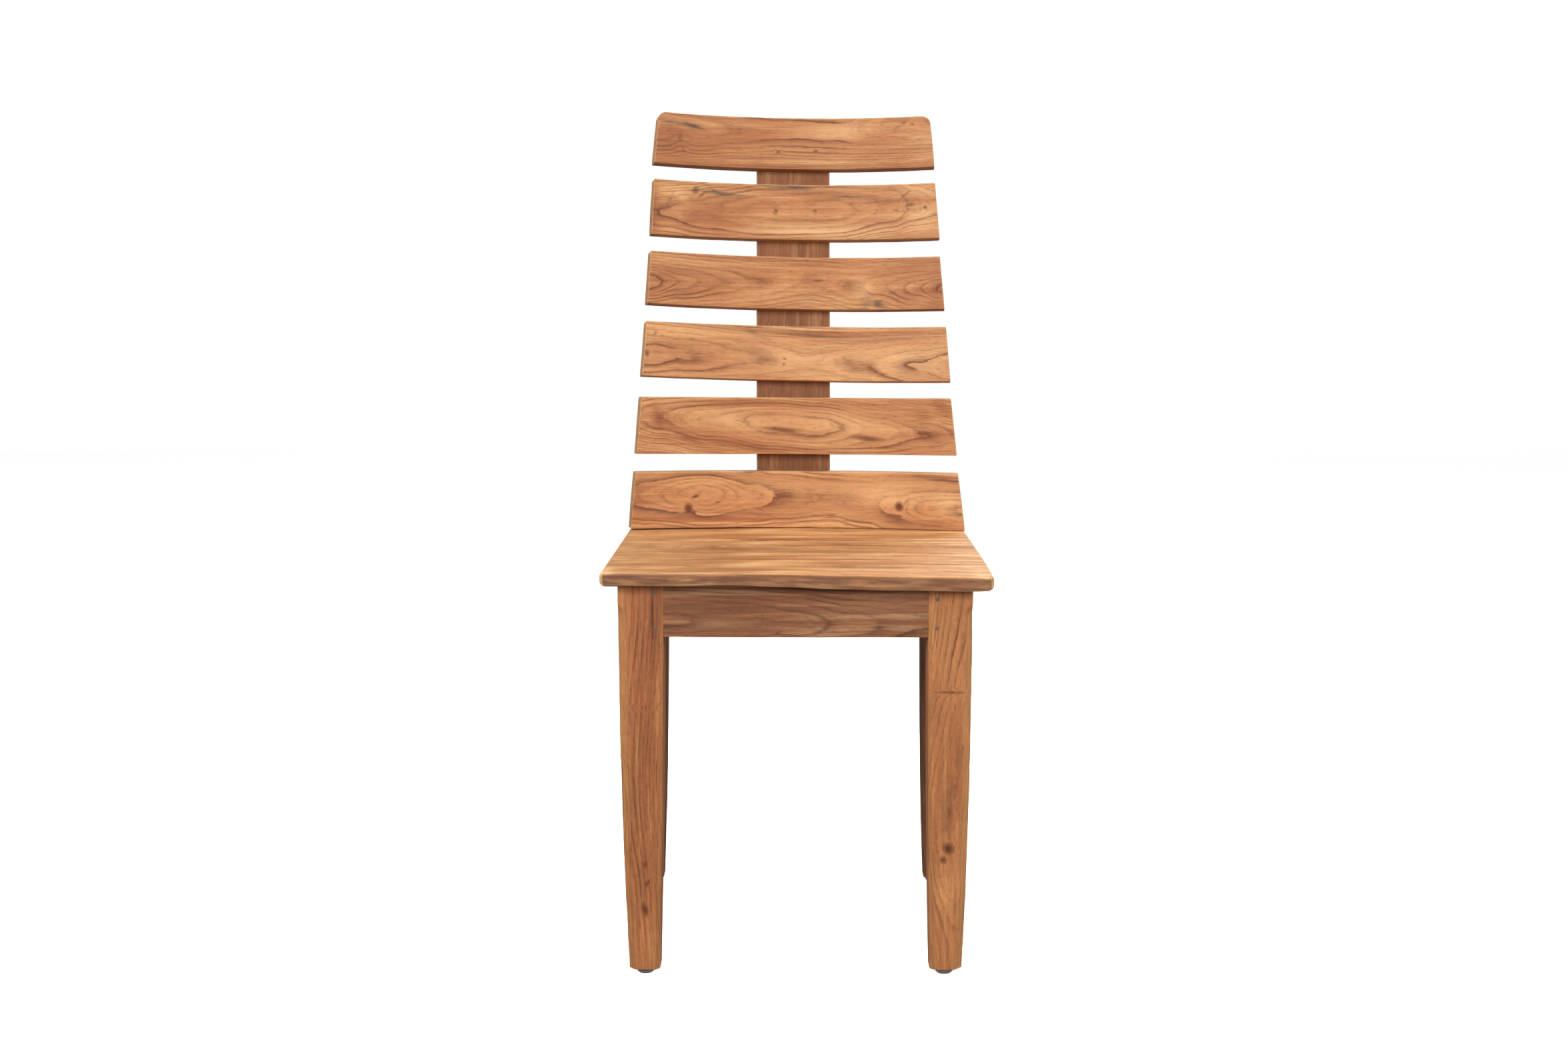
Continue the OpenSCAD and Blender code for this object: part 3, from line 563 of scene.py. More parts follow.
bowed_slat(2, (1, 1), (2.6, 4.3, 0.9, -1.7), {
    "heart": [(-190, -8, 50), (-171, -6, 48.5), (-110, -3, 44), (-40, 0, 39), (50, 4, 38), (125, 8, 44),
              (152, 8, 48.5), (190, 4, 52)],
    "years": [40, 4, 4.5, 3.5, 3], "mean": 2.4, "born": 82, "tone": -0.06,
    "knots": [(-130, 25, 6, 5, 60, 1.0), (-122, 19, 8, 2, 40, 0.8), (149, 9, 8, 2.4, 10, 0.9),
              (168, 5, 3.4, 2.8, -40, 1.0), (132, 2, 10, 1.6, -15, 0.8), (-25, 3, 3.6, 2.0, 0, 1.0),
              (26, 3, 3.6, 2.0, 0, 1.0), (-118, 8, 5, 6, 20, 0.4), (142, 22, 12, 1.6, 40, 0.8)],
    "stains": [(-98, 23, 34, 2.6, -4, 1.0), (-5, 33, 32, 3.2, -2, 1.0), (70, 22, 40, 1.8, -6, 0.9),
               (115, 14, 26, 1.6, 4, 0.8), (-112, 30, 20, 1.6, -30, 0.8), (-160, 33, 20, 2, 0, 0.5),
               (-163, 10, 1.8, 16, -25, 0.6)],
    "shades": [(-184, -5, 8, 40, 0, 0.8), (-95, -2, 34, 24, 0, 0.5), (-135, -12, 12, 14, -25, 0.5),
               (-150, 18, 14, 6, -40, -0.5), (-90, -37, 90, 1.4, 0, -1.0), (60, -37, 60, 1.2, 0, -0.8),
               (30, -24, 110, 6, 0, -0.7), (165, -8, 22, 14, 0, -0.8), (60, 20, 80, 4, -4, 0.5),
               (20, 8, 60, 6, 0, 0.25), (160, 28, 24, 6, -10, -0.5)]}, arris=1.7, wear=0.6, drops=(-1.5, 0.3))
bowed_slat(3, (1, 1), (1.7, 3.4, 1.7, -0.9), {
    "heart": [(-190, -6, 39), (-150, -4, 42), (-92, -2, 45), (-57, -2, 47), (20, 4, 49.5), (87, -4, 47),
              (105, -4, 45), (160, -6, 42), (190, -8, 40)],
    "years": [40, 2, 0.8, 2.2, 2, 3, 2.5], "mean": 2.6, "born": 74, "tone": 0.12,
    "knots": [(108, -26, 9, 6, 20, 0.6), (31, 4, 9, 1.8, 0, 0.9), (38, -7, 9, 1.3, 0, 0.7)],
    "stains": [(94, -22, 9, 7, 40, 0.8), (110, -28, 9, 5, -30, 0.9), (124, -14, 18, 1.8, 35, 0.6)],
    "shades": [(-160, 0, 46, 30, 0, 0.25), (90, -6, 20, 16, -40, -0.6), (150, 22, 50, 7, 8, 0.35),
               (184, -10, 12, 30, 0, 0.4), (-50, -18, 50, 12, 12, -0.3), (20, 30, 90, 4, 0, 0.3),
               (150, -14, 30, 5, 10, 0.25), (-120, 28, 50, 5, -6, 0.2)]}, drops=(-0.8, 0.0))
bowed_slat(4, (1, 1), (0.9, 2.6, 2.6, 0.9), {
    "heart": [(-190, -6, 40), (-149, -6, 42.5), (-53, -8, 47), (20, -8, 50), (81, -12, 47), (163, -15, 42.5),
              (200, -16, 40)],
    "years": [42.5, 4.5, 4, 5, 2.5, 2], "mean": 2.0, "born": 77, "tone": -0.20,
    "knots": [(-191, -6, 4, 5, 0, 1.0), (-181, 20, 4, 2.5, 50, 0.7), (-13, -7, 2.4, 1.8, 0, 1.0),
              (-14, -14, 2.4, 1.8, 0, 1.0)],
    "stains": [(10, 25, 60, 1.6, -4, 0.8), (95, 17, 70, 1.5, 4, 0.8), (130, 26, 60, 2, 2, 0.6),
               (-50, 24, 16, 3, -20, 0.7)],
    "shades": [(60, 25, 105, 7, -1, 0.6), (40, 32, 80, 1.8, 0, -0.9), (60, 20, 90, 1.4, 2, -0.5),
               (-130, 0, 60, 30, 0, 0.2), (20, -4, 70, 12, 0, -0.4), (150, -8, 60, 16, 0, -0.5),
               (-20, -33, 70, 2.5, 0, 0.4), (-120, -34, 60, 1.6, 0, -0.5)]}, drops=(-1.2, 0.0))
bowed_slat(5, (1, 1), (0.9, 1.7, 2.6, 0.9), {
    "heart": [(-215, 14, 51), (-176, 13, 48), (-110, 7, 44), (-30, 2, 39.5), (30, -2, 39.5), (110, -8, 44),
              (166, -11, 48), (215, -14, 51)],
    "years": [41.5, 2.5, 2, 2, 2.5, 2.5], "mean": 2.2, "born": 81,
    "knots": [(-19, -4, 30, 3.4, -4, 1.0), (93, -15, 26, 4.0, -6, 1.0), (-70, 6, 12, 1.6, -10, 0.7)],
    "shades": [(-176, 8, 7, 20, 15, 0.6), (-140, -14, 28, 4, -28, 0.7), (-70, -25, 60, 4.5, -9, 0.8),
               (-90, 27, 80, 4, 2, 0.6), (40, -33, 70, 3, -5, 0.6), (-80, 8, 60, 12, -6, -0.6),
               (60, 4, 60, 14, -6, -0.7), (-150, -32, 60, 4, -10, -0.4), (190, 26, 22, 8, -40, 0.6),
               (182, -14, 14, 12, 0, 0.5), (90, 28, 60, 3, -6, 0.5), (165, 14, 10, 10, -30, 0.4)]},
    drops=(-0.8, 0.0))
# In slat 6's shades, the pale line along its top, at (0, 36), is a painted highlight of its lit top face
bowed_slat(6, (1, 1), (0.0, 0.9, 5.2, 2.6), {
    "heart": [(-215, 6, 47), (-190, 6, 45), (-120, 4, 40), (-50, 2, 46), (-21, 2, 48), (40, 2, 51),
              (95, -4, 49), (136, -8, 45), (180, -10, 43), (215, -12, 42)],
    "years": [42, 2, 2, 2, 8, 2.5], "mean": 2.4, "born": 81, "tone": -0.10,
    "knots": [(-138, -13, 5.5, 7.5, 10, 1.4), (-132, -18, 4, 3, 0, 1.2), (-129, 3, 6, 2.4, 15, 1.2),
              (-100, -5, 4, 1.5, 0, 0.9), (136, -9, 5.5, 6.5, 20, 1.4), (145, -3, 8, 3, 40, 0.6),
              (72, -1, 2.5, 1.2, 0, 0.8)],
    "stains": [(205, -17, 14, 1.6, 0, 1.4), (188, 28, 34, 2.0, -6, 1.0), (-180, -15, 40, 1.4, -10, 0.9),
               (-60, -20, 60, 1.3, -2, 0.8), (60, -27, 60, 1.3, -6, 0.7)],
    "shades": [(-205, 0, 20, 24, 0, 0.5), (-100, -27, 120, 5, 0, 0.7), (-60, -32, 130, 1.4, 0, -0.9),
               (185, 30, 40, 4, -6, 0.7), (120, 6, 60, 16, 0, -0.7), (200, -4, 18, 14, 0, -0.8),
               (-20, 12, 60, 12, 0, -0.4), (-120, -20, 90, 1.4, -3, -0.7), (0, 36, 190, 1.4, 0, -0.8),
               (-170, 22, 40, 10, 8, 0.3), (190, -28, 30, 5, 0, 0.4)]},
    arris=1.5, drops=(1.3, 1.6))

# %% [markdown]
# The spine is one wide board, bandsawn to a gentle curve. A straight board laid along the same
# path as the slats' seats gives it, with the grain running up it. The path's corners are cut
# off three times, so that the lean changes smoothly.

# %% The spine
def smooth_path(marks, times=3):
    """Cuts the corners of a path of (y, z) marks."""
    marks = np.array(marks)
    for _ in range(times):
        cut = [marks[0]]
        for a, b in zip(marks[:-1], marks[1:]):
            cut += [a * 0.75 + b * 0.25, a * 0.25 + b * 0.75]
        marks = np.array(cut + [marks[-1]])
    return marks


spine_thick = 25.0
spine_end = slat_tops[0] - 12.0 * up_spine(reclines[0])
marks = [np.array([spine_face, spine_low[2]])]
for i in (5, 4, 3, 2, 1):
    marks += [slat_feet[i], slat_tops[i]]
marks += [slat_feet[0], spine_end]
path = smooth_path(marks)
steps = np.concatenate([[0], np.cumsum(np.linalg.norm(np.diff(path, axis=0), axis=1))])
spine_length = steps[-1]
spine_size = (spine_length, spine_thick, spine_width)
piece = board("spine_wood", spine_size, (2.6, 2.4, 2.6), 1.8, 0.3, 0.8, 61, SPINE_TEAK_PART_PAINTED_SHADE)
x, y, z = read(piece.data, "position", 3).T
run = x + spine_length / 2
path_y = np.interp(run, steps, path[:, 0])
path_z = np.interp(run, steps, path[:, 1])
lean = np.interp(run, (steps[:-1] + steps[1:]) / 2, np.arctan2(np.diff(path[:, 0]), np.diff(path[:, 1])))
behind = y + spine_thick / 2
# The spine's shades are painted shade: a dark line down its left side where the slats cast shadow, and
# darkening towards its foot
figure(piece.data, x, z, y, {"heart": [(-300, 20, 60), (300, -35, 70)], "mean": 4.0, "tone": 0.1,
                             "shades": [(0, 44, 300, 5, 0, 0.4), (-240, 0, 150, 60, 0, 0.95)]})
# It stands a hair to the left, and leans a little further that way
spine_left = 1.2
spine_lean = 1.8
across = -z - spine_left - spine_lean * run / spine_length
points = np.stack([across, path_y + behind * np.cos(lean), path_z - behind * np.sin(lean)], axis=1)
settle(piece, points, ["back_spine"])

# %% [markdown]
# The seat is four planks glued edge to edge, sawn to one outline afterwards. So each plank keeps
# almost sharp edges at the joints, which show as thin dark lines, and the outline's own edges
# are rounded over all the planks at once. The front corners are sawn to a small radius.

# %% Seat planks
seat_corners = np.array([box_mm(f"seat_plank_{n}") for n in (1, 2, 3, 4)])
seat_low = seat_corners[:, 0].min(axis=0)
seat_high = seat_corners[:, 1].max(axis=0)
seat_front_half = seat_high[0]
seat_rear_half = seat_corners[3, 1, 0] - 0.8


def edge_rounded(points, low, high, radius):
    """Points of a block with its outer edges rounded, and how near each is to such an edge."""
    core = np.clip(points, low + radius, high - radius)
    out = points - core
    reach = np.linalg.norm(out, axis=1, keepdims=True)
    moved = np.where(reach > radius, core + out * radius / np.maximum(reach, 1e-6), points)
    return moved, np.clip((reach / radius - 1) * 2.4, 0, 1)[:, 0]


def plan_corner(x, y, half, edge, way, radius):
    """Turns a square corner in plan into a quarter circle. The way is 1 where the edge is in front."""
    a = radius - (half - np.abs(x))
    b = radius - (y - edge) * way
    inside = (a > 0) & (b > 0)
    grow = np.maximum(a, b) / np.maximum(np.hypot(a, b), 1e-6)
    x = np.where(inside, np.sign(x) * (half - radius + a * grow), x)
    y = np.where(inside, edge + way * (radius - b * grow), y)
    return x, y


# How far the hand-planed front edge lies from true, above and below, along the seat
front_top = [(-220, 0.4), (-20, -0.4), (46, -1.8), (106, -2.8), (220, -4.2)]
front_foot = [(-220, 3.4), (-135, 3.0), (-82, 4.6), (-14, 2.0), (46, -0.5), (106, -1.8), (220, -3.3)]


seat_rub = 1.9           # mean radius of the seat's worn edges
corner_rub = (4.4, 2.6)  # how much larger it is at the left and the right end
corner_from = 200.0      # how far from the middle that begins, and over what length it grows
corner_run = 16.0
dull_edge = 1.6          # how deep the unsanded front edge reaches
front_corner = 9.0       # radii of the seat's corners in plan
rear_corner = 3.0
seat_right = 0.8         # how far the seat's right side stands out, in front
seat_right_back = 3.0    # and how much further at the back


def plank(number, look):
    low, high = box_mm(f"seat_plank_{number}")
    size = np.array([2 * seat_front_half, high[1] - low[1], high[2] - low[2]])
    piece = board(f"seat_plank_{number}_wood", size, (2.2, 1.9, 2.0), 0.5, 0.5, 0.5, 30 + number, SEAT_TEAK)
    local = read(piece.data, "position", 3)
    figure(piece.data, local[:, 0], local[:, 1], local[:, 2], look)
    # Dirt has settled where two planks meet
    joints = [way for way, end in ((-1, 1), (1, 4)) if number != end]
    for way in joints:
        seam = np.clip(1 - (size[1] / 2 - way * local[:, 1]) / 2.4, 0, 1)
        write(piece.data, "stains", np.maximum(read(piece.data, "stains", 1), seam))
    points = local + np.array([0, (low[1] + high[1]) / 2, (low[2] + high[2]) / 2])
    # The front edge was never sanded, so it is duller than the top
    edge_face = np.clip((seat_low[1] + dull_edge - points[:, 1]) / 1.2, 0, 1)
    edge_face = edge_face * np.clip((seat_high[2] - 1.5 - points[:, 2]) / 1.5, 0, 1)
    write(piece.data, "dull", edge_face)
    rub = seat_rub + 0.5 * np.sin(points[:, :1] / 37 + number) * np.sin(points[:, :1] / 91)
    worn_end = np.where(points[:, :1] < 0, corner_rub[0], corner_rub[1])
    rub = rub + worn_end * np.clip((np.abs(points[:, :1]) - corner_from) / corner_run, 0, 1)
    points, near = edge_rounded(points, seat_low, seat_high, rub)
    write(piece.data, "arris", np.maximum(near, read(piece.data, "arris", 1) * 0.2))
    x, y, z = points.T
    depth = y - seat_low[1]
    up = (z - seat_low[2]) / (seat_high[2] - seat_low[2])
    z = z + (up * eased_between(x, front_top) * np.clip(1 - depth / 170, 0, 1) ** 2
             + (1 - up) * eased_between(x, front_foot) * np.clip(1 - depth / 15, 0, 1))
    x, y = plan_corner(x, y, seat_front_half, seat_low[1], 1, front_corner)
    x, y = plan_corner(x, y, seat_front_half, seat_high[1], -1, rear_corner)
    back = (y - seat_low[1]) / (seat_high[1] - seat_low[1])
    x = x * (1 + (seat_rear_half / seat_front_half - 1) * back)
    # The saw left the right side less tapered than the left one
    x = x + seat_right + seat_right_back * back * np.clip(x / seat_front_half, 0, 1)
    settle(piece, np.stack([x, y, z], axis=1), [f"seat_plank_{number}"])


plank(1, {"heart": [(-220, -8, -26), (0, 10, -34), (220, -4, -28)], "mean": 13.0,
          "swells": [(-60, 0, 70, 30, 8, 5.0)],
          "shades": [(-216, -30, 9, 26, 0, -0.9), (-60, 10, 60, 10, 0, -0.5), (90, -10, 80, 9, 2, -0.4),
                     (-150, 30, 50, 6, 0, 0.5), (130, 34, 80, 5, 0, 0.5), (210, -30, 14, 26, 0, -0.5)]})
plank(2, {"heart": [(-220, 60, -30), (0, 52, -34), (220, 66, -30)], "mean": 12.0,
          "knots": [(120, 12, 10, 5, 10, 0.6)],
          "shades": [(-130, 0, 70, 12, 0, 0.45), (20, -20, 90, 9, 0, 0.4), (60, 30, 60, 9, 0, -0.5),
                     (170, 10, 50, 14, 0, 0.35)]})
plank(3, {"heart": [(-220, 6, -40), (60, -14, -32), (220, 4, -38)], "mean": 14.0,
          "swells": [(80, -10, 60, 20, 5, -6.0)],
          "shades": [(-120, 10, 90, 14, 0, -0.5), (120, 0, 70, 12, 0, 0.5), (-20, -35, 70, 8, 0, 0.4),
                     (170, 40, 60, 9, 0, -0.4)]})
plank(4, {"heart": [(-220, -70, -30), (0, -84, -34), (220, -66, -30)], "mean": 14.0,
          "shades": [(0, 10, 120, 14, 0, -0.4), (-150, 40, 70, 14, 0, 0.3), (150, -20, 80, 14, 0, 0.4)]})

# %% [markdown]
# Each leg is a square post that tapers towards the foot, mostly on its inner and back faces, and
# whose corners were planed off. On the front legs the outer corner is taken off widely, and the
# cut stops a little below the seat. A straight board stood on end is drawn in to that taper,
# and wherever a point lies outside a corner's cut it is moved back onto the cut.

# %% Legs
frame_top = seat_low[2]
apron_low, apron_high = box_mm("front_apron")
taper_start = apron_low[2]
front_tapers = (9.0, 4.0)     # how far the foot is drawn in, on the outer and on the inner face
rear_tapers = (3.0, 7.0)
back_taper = 10.0             # and on the back face
wide_cut = 9.5                # width of the front legs' outer chamfer
small_cut = 1.5               # width of the others at the top
cut_growth = 5.5              # and how much wider they are at the foot
cut_stop = 42.0               # how far above the aprons' foot the wide chamfer ends
cut_fade = 16.0


def corner_cut(a, b, width):
    """Moves points back onto a chamfer, for a and b the distances inward from both faces."""
    past = np.clip((width - a - b) / 2, 0, None)
    return a + past, b + past, past > 0


def leg(front, side, look, lean=(0.0, 0.0), slim=(0.0, 0.0)):
    """A leg whose outer face leans out, and whose inner face is planed back, by so much at the
    top and at the foot. The planing starts below the aprons, which fit the leg there."""
    name = ("front" if front else "rear") + "_leg_" + ("left" if side < 0 else "right")
    low, high = box_mm(name)
    inner, outer = sorted((abs(low[0]), abs(high[0])))
    outer_taper, inner_taper = front_tapers if front else rear_tapers
    deep = high[1] - low[1]
    size = np.array([high[2] - low[2], deep, outer - inner])
    material = LEG_TEAK if front else REAR_LEG_TEAK_PAINTED_SHADE
    seed = 40 + 3 * side + 7 * front
    piece = board(f"{name}_wood", size, (2.6, 2.2, 2.2), 1.1, 0.5, 0.8, seed, material)
    local = read(piece.data, "position", 3)
    figure(piece.data, local[:, 0], -local[:, 2], local[:, 1], look)
    z = low[2] + local[:, 0] + size[0] / 2
    t = np.clip((taper_start - z) / (taper_start - low[2]), 0, 1)
    # Distances inward: from the outer face, the inner face, the front and the back
    across = -local[:, 2] * side
    width = size[2] - (outer_taper + inner_taper) * t ** 2
    depth = deep - back_taper * t ** 2
    from_outer = (0.5 - across / size[2]) * width
    from_front = (0.5 + local[:, 1] / deep) * depth
    ripple = 1 + 0.12 * np.sin(z / 23 + side) + 0.08 * np.sin(z / 9)
    foot = small_cut + cut_growth * t
    stop = np.clip((taper_start + cut_stop - z) / cut_fade, 0, 1)
    wide = (np.maximum(foot, wide_cut * stop * stop * (3 - 2 * stop)) if front else foot) * ripple
    cut = np.zeros(len(z), bool)
    from_outer, from_front, on = corner_cut(from_outer, from_front, wide)
    cut |= on
    b = depth - from_front
    from_outer, b, on = corner_cut(from_outer, b, foot * ripple)
    from_front = depth - b
    a = width - from_outer
    a, from_front, on = corner_cut(a, from_front, foot * ripple)
    cut |= on
    b = depth - from_front
    a, b, on = corner_cut(a, b, foot * ripple)
    from_front = depth - b
    from_outer = width - a
    # The chamfers take some of the pale edge colour: a painted highlight, for the light they catch from the
    # side lamps
    write(piece.data, "arris", np.maximum(read(piece.data, "arris", 1), 0.55 * cut))
    near_outer = np.clip(1 - from_outer / width, 0, 1)
    planed = np.clip((taper_start - z) / 25, 0, 1) * (slim[0] * (1 - t) + slim[1] * t)
    spare = near_outer * (lean[0] * (1 - t) + lean[1] * t) + (1 - near_outer) * planed
    x = side * (outer - outer_taper * t ** 2 - from_outer + spare)
    y = low[1] + from_front
    settle(piece, np.stack([x, y, z], axis=1), [name])


# Each front leg's shades hold a long pale band down its outer side and chamfer, a painted highlight; the
# others are the wood's own tone
leg(True, -1, {"heart": [(-225, -30, -40), (0, -46, -50), (225, -34, -44)], "mean": 5.0,
               "knots": [(-98, 3, 5, 3, 20, 1.1), (-120, 6, 7, 2.5, 35, 1.1), (-151, 2, 9, 5, -15, 1.1),
                         (83, 4, 1.6, 18, 0, 0.8), (192, 13.5, 36, 1.3, 0, 1.3)],
               "stains": [(190, 18, 30, 1.0, 0, 0.5)],
               "shades": [(-110, 0, 40, 30, 0, 0.3), (60, -24, 200, 9, 0, -0.5), (-200, 10, 40, 12, 0, -0.3),
                          (110, 14, 90, 10, 0, 0.25)]}, lean=(1.0, -0.4), slim=(0.0, 1.2))
leg(True, 1, {"heart": [(-225, 20, -60), (-60, 2, -44), (225, 34, -56)], "mean": 5.0, "tone": -0.22,
              "knots": [(-79, 0, 7, 8, 30, 1.2), (-92, -6, 5, 5, -30, 1.1), (101, 0, 1.5, 22, 0, 0.9)],
              "stains": [(-150, 10, 30, 2, 4, 0.3)],
              "shades": [(-132, -4, 20, 14, 0, -0.6), (-40, 26, 200, 6, 0, -0.4), (150, 0, 50, 20, 0, -0.25),
                         (30, 6, 60, 16, 0, 0.15)]}, lean=(-0.2, 1.4), slim=(0.0, 1.2))
leg(False, -1, {"heart": [(-225, 30, -60), (225, 44, -66)], "mean": 5.0}, slim=(2.4, 1.4))
leg(False, 1, {"heart": [(-225, -40, -60), (225, -52, -66)], "mean": 5.0}, slim=(2.4, 1.4))

# %% [markdown]
# The aprons are rails tenoned into the legs, of rougher and greyer teak than the seat, since
# nobody handles them. Their shoulders meet the legs, so each rail is drawn up to there, and
# reaches a millimetre into the leg in order that no light shows through the joint.

# %% Aprons
front_legs = box_mm("front_leg_right")
rear_legs = box_mm("rear_leg_right")
shoulder_in = 1.0


def apron(name, along, low, high, look):
    """A rail between two corners of a box, with its grain along axis 0 or 1."""
    low = np.array(low, float)
    high = np.array(high, float)
    spans = high - low
    order = [along, 1 - along, 2]
    piece = board(f"{name}_wood", spans[order], (2.2, 2.2, 1.9), 1.1, 0.5, 0.8, 70 + len(name), APRON_TEAK)
    x, y, z = read(piece.data, "position", 3).T
    figure(piece.data, x, z, y, look)
    turned = [x, y, z] if along == 0 else [-y, x, z]
    settle(piece, np.stack(turned, axis=1) + (low + high) / 2, [name])


front_inner = front_legs[0][0] + shoulder_in
rear_inner = rear_legs[0][0] + shoulder_in
apron("front_apron", 0, (-front_inner, *apron_low[1:]), (front_inner, *apron_high[1:]),
      {"heart": [(-150, -9, -41), (-60, -10, -44), (-1, -12, -46), (60, -14, -50), (150, -12, -55)],
       "years": [52, 2.5, 2, 3, 3, 3], "mean": 2.6, "born": 76,
       "knots": [(-38, -4, 8, 2, -40, 0.6), (-20, -24, 5, 2.5, 40, 0.7), (60, 14, 30, 1.2, -4, 0.7)],
       "shades": [(-80, 10, 60, 7, -6, 0.4), (-90, -14, 40, 7, 0, -0.3), (70, 4, 60, 8, 5, -0.25),
                  (0, 26, 150, 3, 0, 0.5)]})
rear_box = box_mm("rear_apron")
apron("rear_apron", 0, (-rear_inner, *rear_box[0][1:]), (rear_inner, *rear_box[1][1:]),
      {"heart": [(-160, 10, -40), (160, -12, -48)], "mean": 4.6})
for side, word in ((-1, "left"), (1, "right")):
    side_box = box_mm(f"side_apron_{word}")
    apron(f"side_apron_{word}", 1, (side_box[0][0], front_legs[1][1] - shoulder_in, side_box[0][2]),
          (side_box[1][0], rear_legs[0][1] + shoulder_in, side_box[1][2]),
          {"heart": [(-160, 6 * side, -40), (160, -10 * side, -46)], "mean": 4.4})

# %% [markdown]
# Corner blocks are offcuts screwed and glued into the frame under the seat. Each takes its
# outline from the frame's own solid. A Bevel modifier eases it, which is right here: these
# hidden blocks were never handled, so their edges stayed even.

# %% Corner blocks
for front in ("front", "rear"):
    for word in ("left", "right"):
        name = f"corner_block_{front}_{word}"
        piece = bpy.data.objects.new(f"{name}_wood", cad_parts[name].data.copy())
        bpy.context.scene.collection.objects.link(piece)
        weld = piece.modifiers.new("weld", "WELD")
        weld.merge_threshold = 0.01 * MM
        eased = piece.modifiers.new("eased", "BEVEL")
        eased.width = 0.7 * MM
        eased.segments = 3
        eased.limit_method = "ANGLE"
        eased.angle_limit = math.radians(40)
        graph = bpy.context.evaluated_depsgraph_get()
        mesh = bpy.data.meshes.new_from_object(piece.evaluated_get(graph), depsgraph=graph)
        piece.modifiers.clear()
        piece.data = mesh
        mesh.materials.clear()
        mesh.materials.append(APRON_TEAK)
        points = read(mesh, "position", 3) / MM
        middle = (points.min(axis=0) + points.max(axis=0)) / 2
        slant = np.array([1.0, 1.0 if (front == "front") == (word == "left") else -1.0]) / math.sqrt(2)
        run = (points[:, :2] - middle[:2]) @ slant
        over = (points[:, :2] - middle[:2]) @ np.array([-slant[1], slant[0]])
        layer = mesh.attributes.new("fibre", "FLOAT_VECTOR", "POINT")
        fibre = np.stack([run, over, points[:, 2] - middle[2]], axis=1)
        layer.data.foreach_set("vector", fibre.astype(np.float32).ravel())
        write(mesh, "arris", np.zeros(len(points)))
        figure(mesh, run, over, points[:, 2] - middle[2],
               {"heart": [(-60, 30, -40), (60, 36, -44)], "mean": 4.0})
        settle(piece, points, [name])

# %% [markdown]
# Pegs, plugs, screws, nails and glides are all turned forms, round about one axis, and there are
# nearly seventy of them. Each form is spun once from its half outline. A screw's thread is the same
# outline, with its radius rising and falling along a helix. The forms are then set out by
# Geometry Nodes, since that is what repeats: one point for each place, turned to face outward,
# with a small random spin so that no two show the same grain.

# %% Turned forms
FORMS = []


def turned_form(name, outline, around, radius_of=None, drop_of=None):
    """A closed form spun from an outline of (radius, z), from the bottom's middle to the top's."""
    angle = np.arange(around) * 2 * math.pi / around
    rows = []
    for radius, z in outline[1:-1]:
        r = np.full(around, float(radius))
        h = np.full(around, float(z))
        if radius_of is not None:
            r = r * radius_of(angle, z)
        ring = np.stack([r * np.cos(angle), r * np.sin(angle), h], axis=1)
        if drop_of is not None:
            ring[:, 2] -= drop_of(ring)
        rows.append(ring)
    top = np.array([[0.0, 0.0, outline[-1][1]]])
    if drop_of is not None:
        top[:, 2] -= drop_of(top)
    points = np.concatenate([[[0.0, 0.0, outline[0][1]]]] + rows + [top])
    last = len(points) - 1
    faces = [(0, 1 + (k + 1) % around, 1 + k) for k in range(around)]
    for j in range(len(rows) - 1):
        a = 1 + j * around
        faces += [(a + k, a + (k + 1) % around, a + around + (k + 1) % around, a + around + k)
                  for k in range(around)]
    a = 1 + (len(rows) - 1) * around
    faces += [(a + k, a + (k + 1) % around, last) for k in range(around)]
    mesh = bpy.data.meshes.new(name)
    mesh.from_pydata(points.tolist(), [], faces)
    form = bpy.data.objects.new(name, mesh)
    bpy.context.scene.collection.objects.link(form)
    FORMS.append(form)
    return form


def whittled(angle, z):
    """Pegs are knife-cut, so they are not quite round."""
    return 1 + 0.022 * np.cos(7 * angle + 0.3 * z) + 0.02 * np.cos(3 * angle)


peg_outline = [(0, -29.5), (2.2, -29.5), (2.9, -28.2), (3.0, -20), (3.0, -8), (3.0, -1.2),
               (2.93, -0.5), (2.6, -0.1), (2.1, 0.08), (1.4, 0.16), (0.7, 0.2), (0, 0.2)]
PEG = turned_form("peg", peg_outline, 28, whittled)
plug_outline = [(0, -5.9), (3.6, -5.9), (3.9, -5.4), (3.97, -3), (3.97, -0.5), (3.8, -0.16),
                (3.45, -0.02), (2.6, 0.03), (1.7, 0.05), (0.8, 0.05), (0, 0.05)]
PLUG = turned_form("plug", plug_outline, 32)


def screw_form(length):
    pitch = 1.7
    rows = np.arange(-length + 4.0, -6.0, pitch / 6)
    outline = [(0, -length), (0.35, -length + 0.4), (0.8, -length + 1.4), (1.3, -length + 2.7)]
    outline += [(1.6, z) for z in rows]
    outline += [(1.55, -5.4), (1.55, -3.2), (2.0, -2.5), (3.2, -0.75), (3.45, -0.35), (3.42, -0.1)]
    outline += [(r, 0.0) for r in (3.2, 2.7, 2.3, 2.0, 1.6, 1.2, 0.8, 0.5, 0.25)] + [(0, 0.0)]

    def thread(angle, z):
        if not -length + 1.0 < z < -5.8:
            return 1 + 0 * angle
        wave = (z / pitch - angle / (2 * math.pi)) % 1
        return 1 + 0.24 * np.clip(1 - np.abs(wave - 0.5) * 4, 0, 1)

    def cross(points):
        near = np.minimum(np.abs(points[:, 0]), np.abs(points[:, 1]))
        far = np.maximum(np.abs(points[:, 0]), np.abs(points[:, 1]))
        return np.where((points[:, 2] > -0.05) & (near < 0.55) & (far < 2.1), 1.3 - 0.35 * far, 0.0)

    return turned_form(f"screw_{length}", outline, 24, thread, cross)


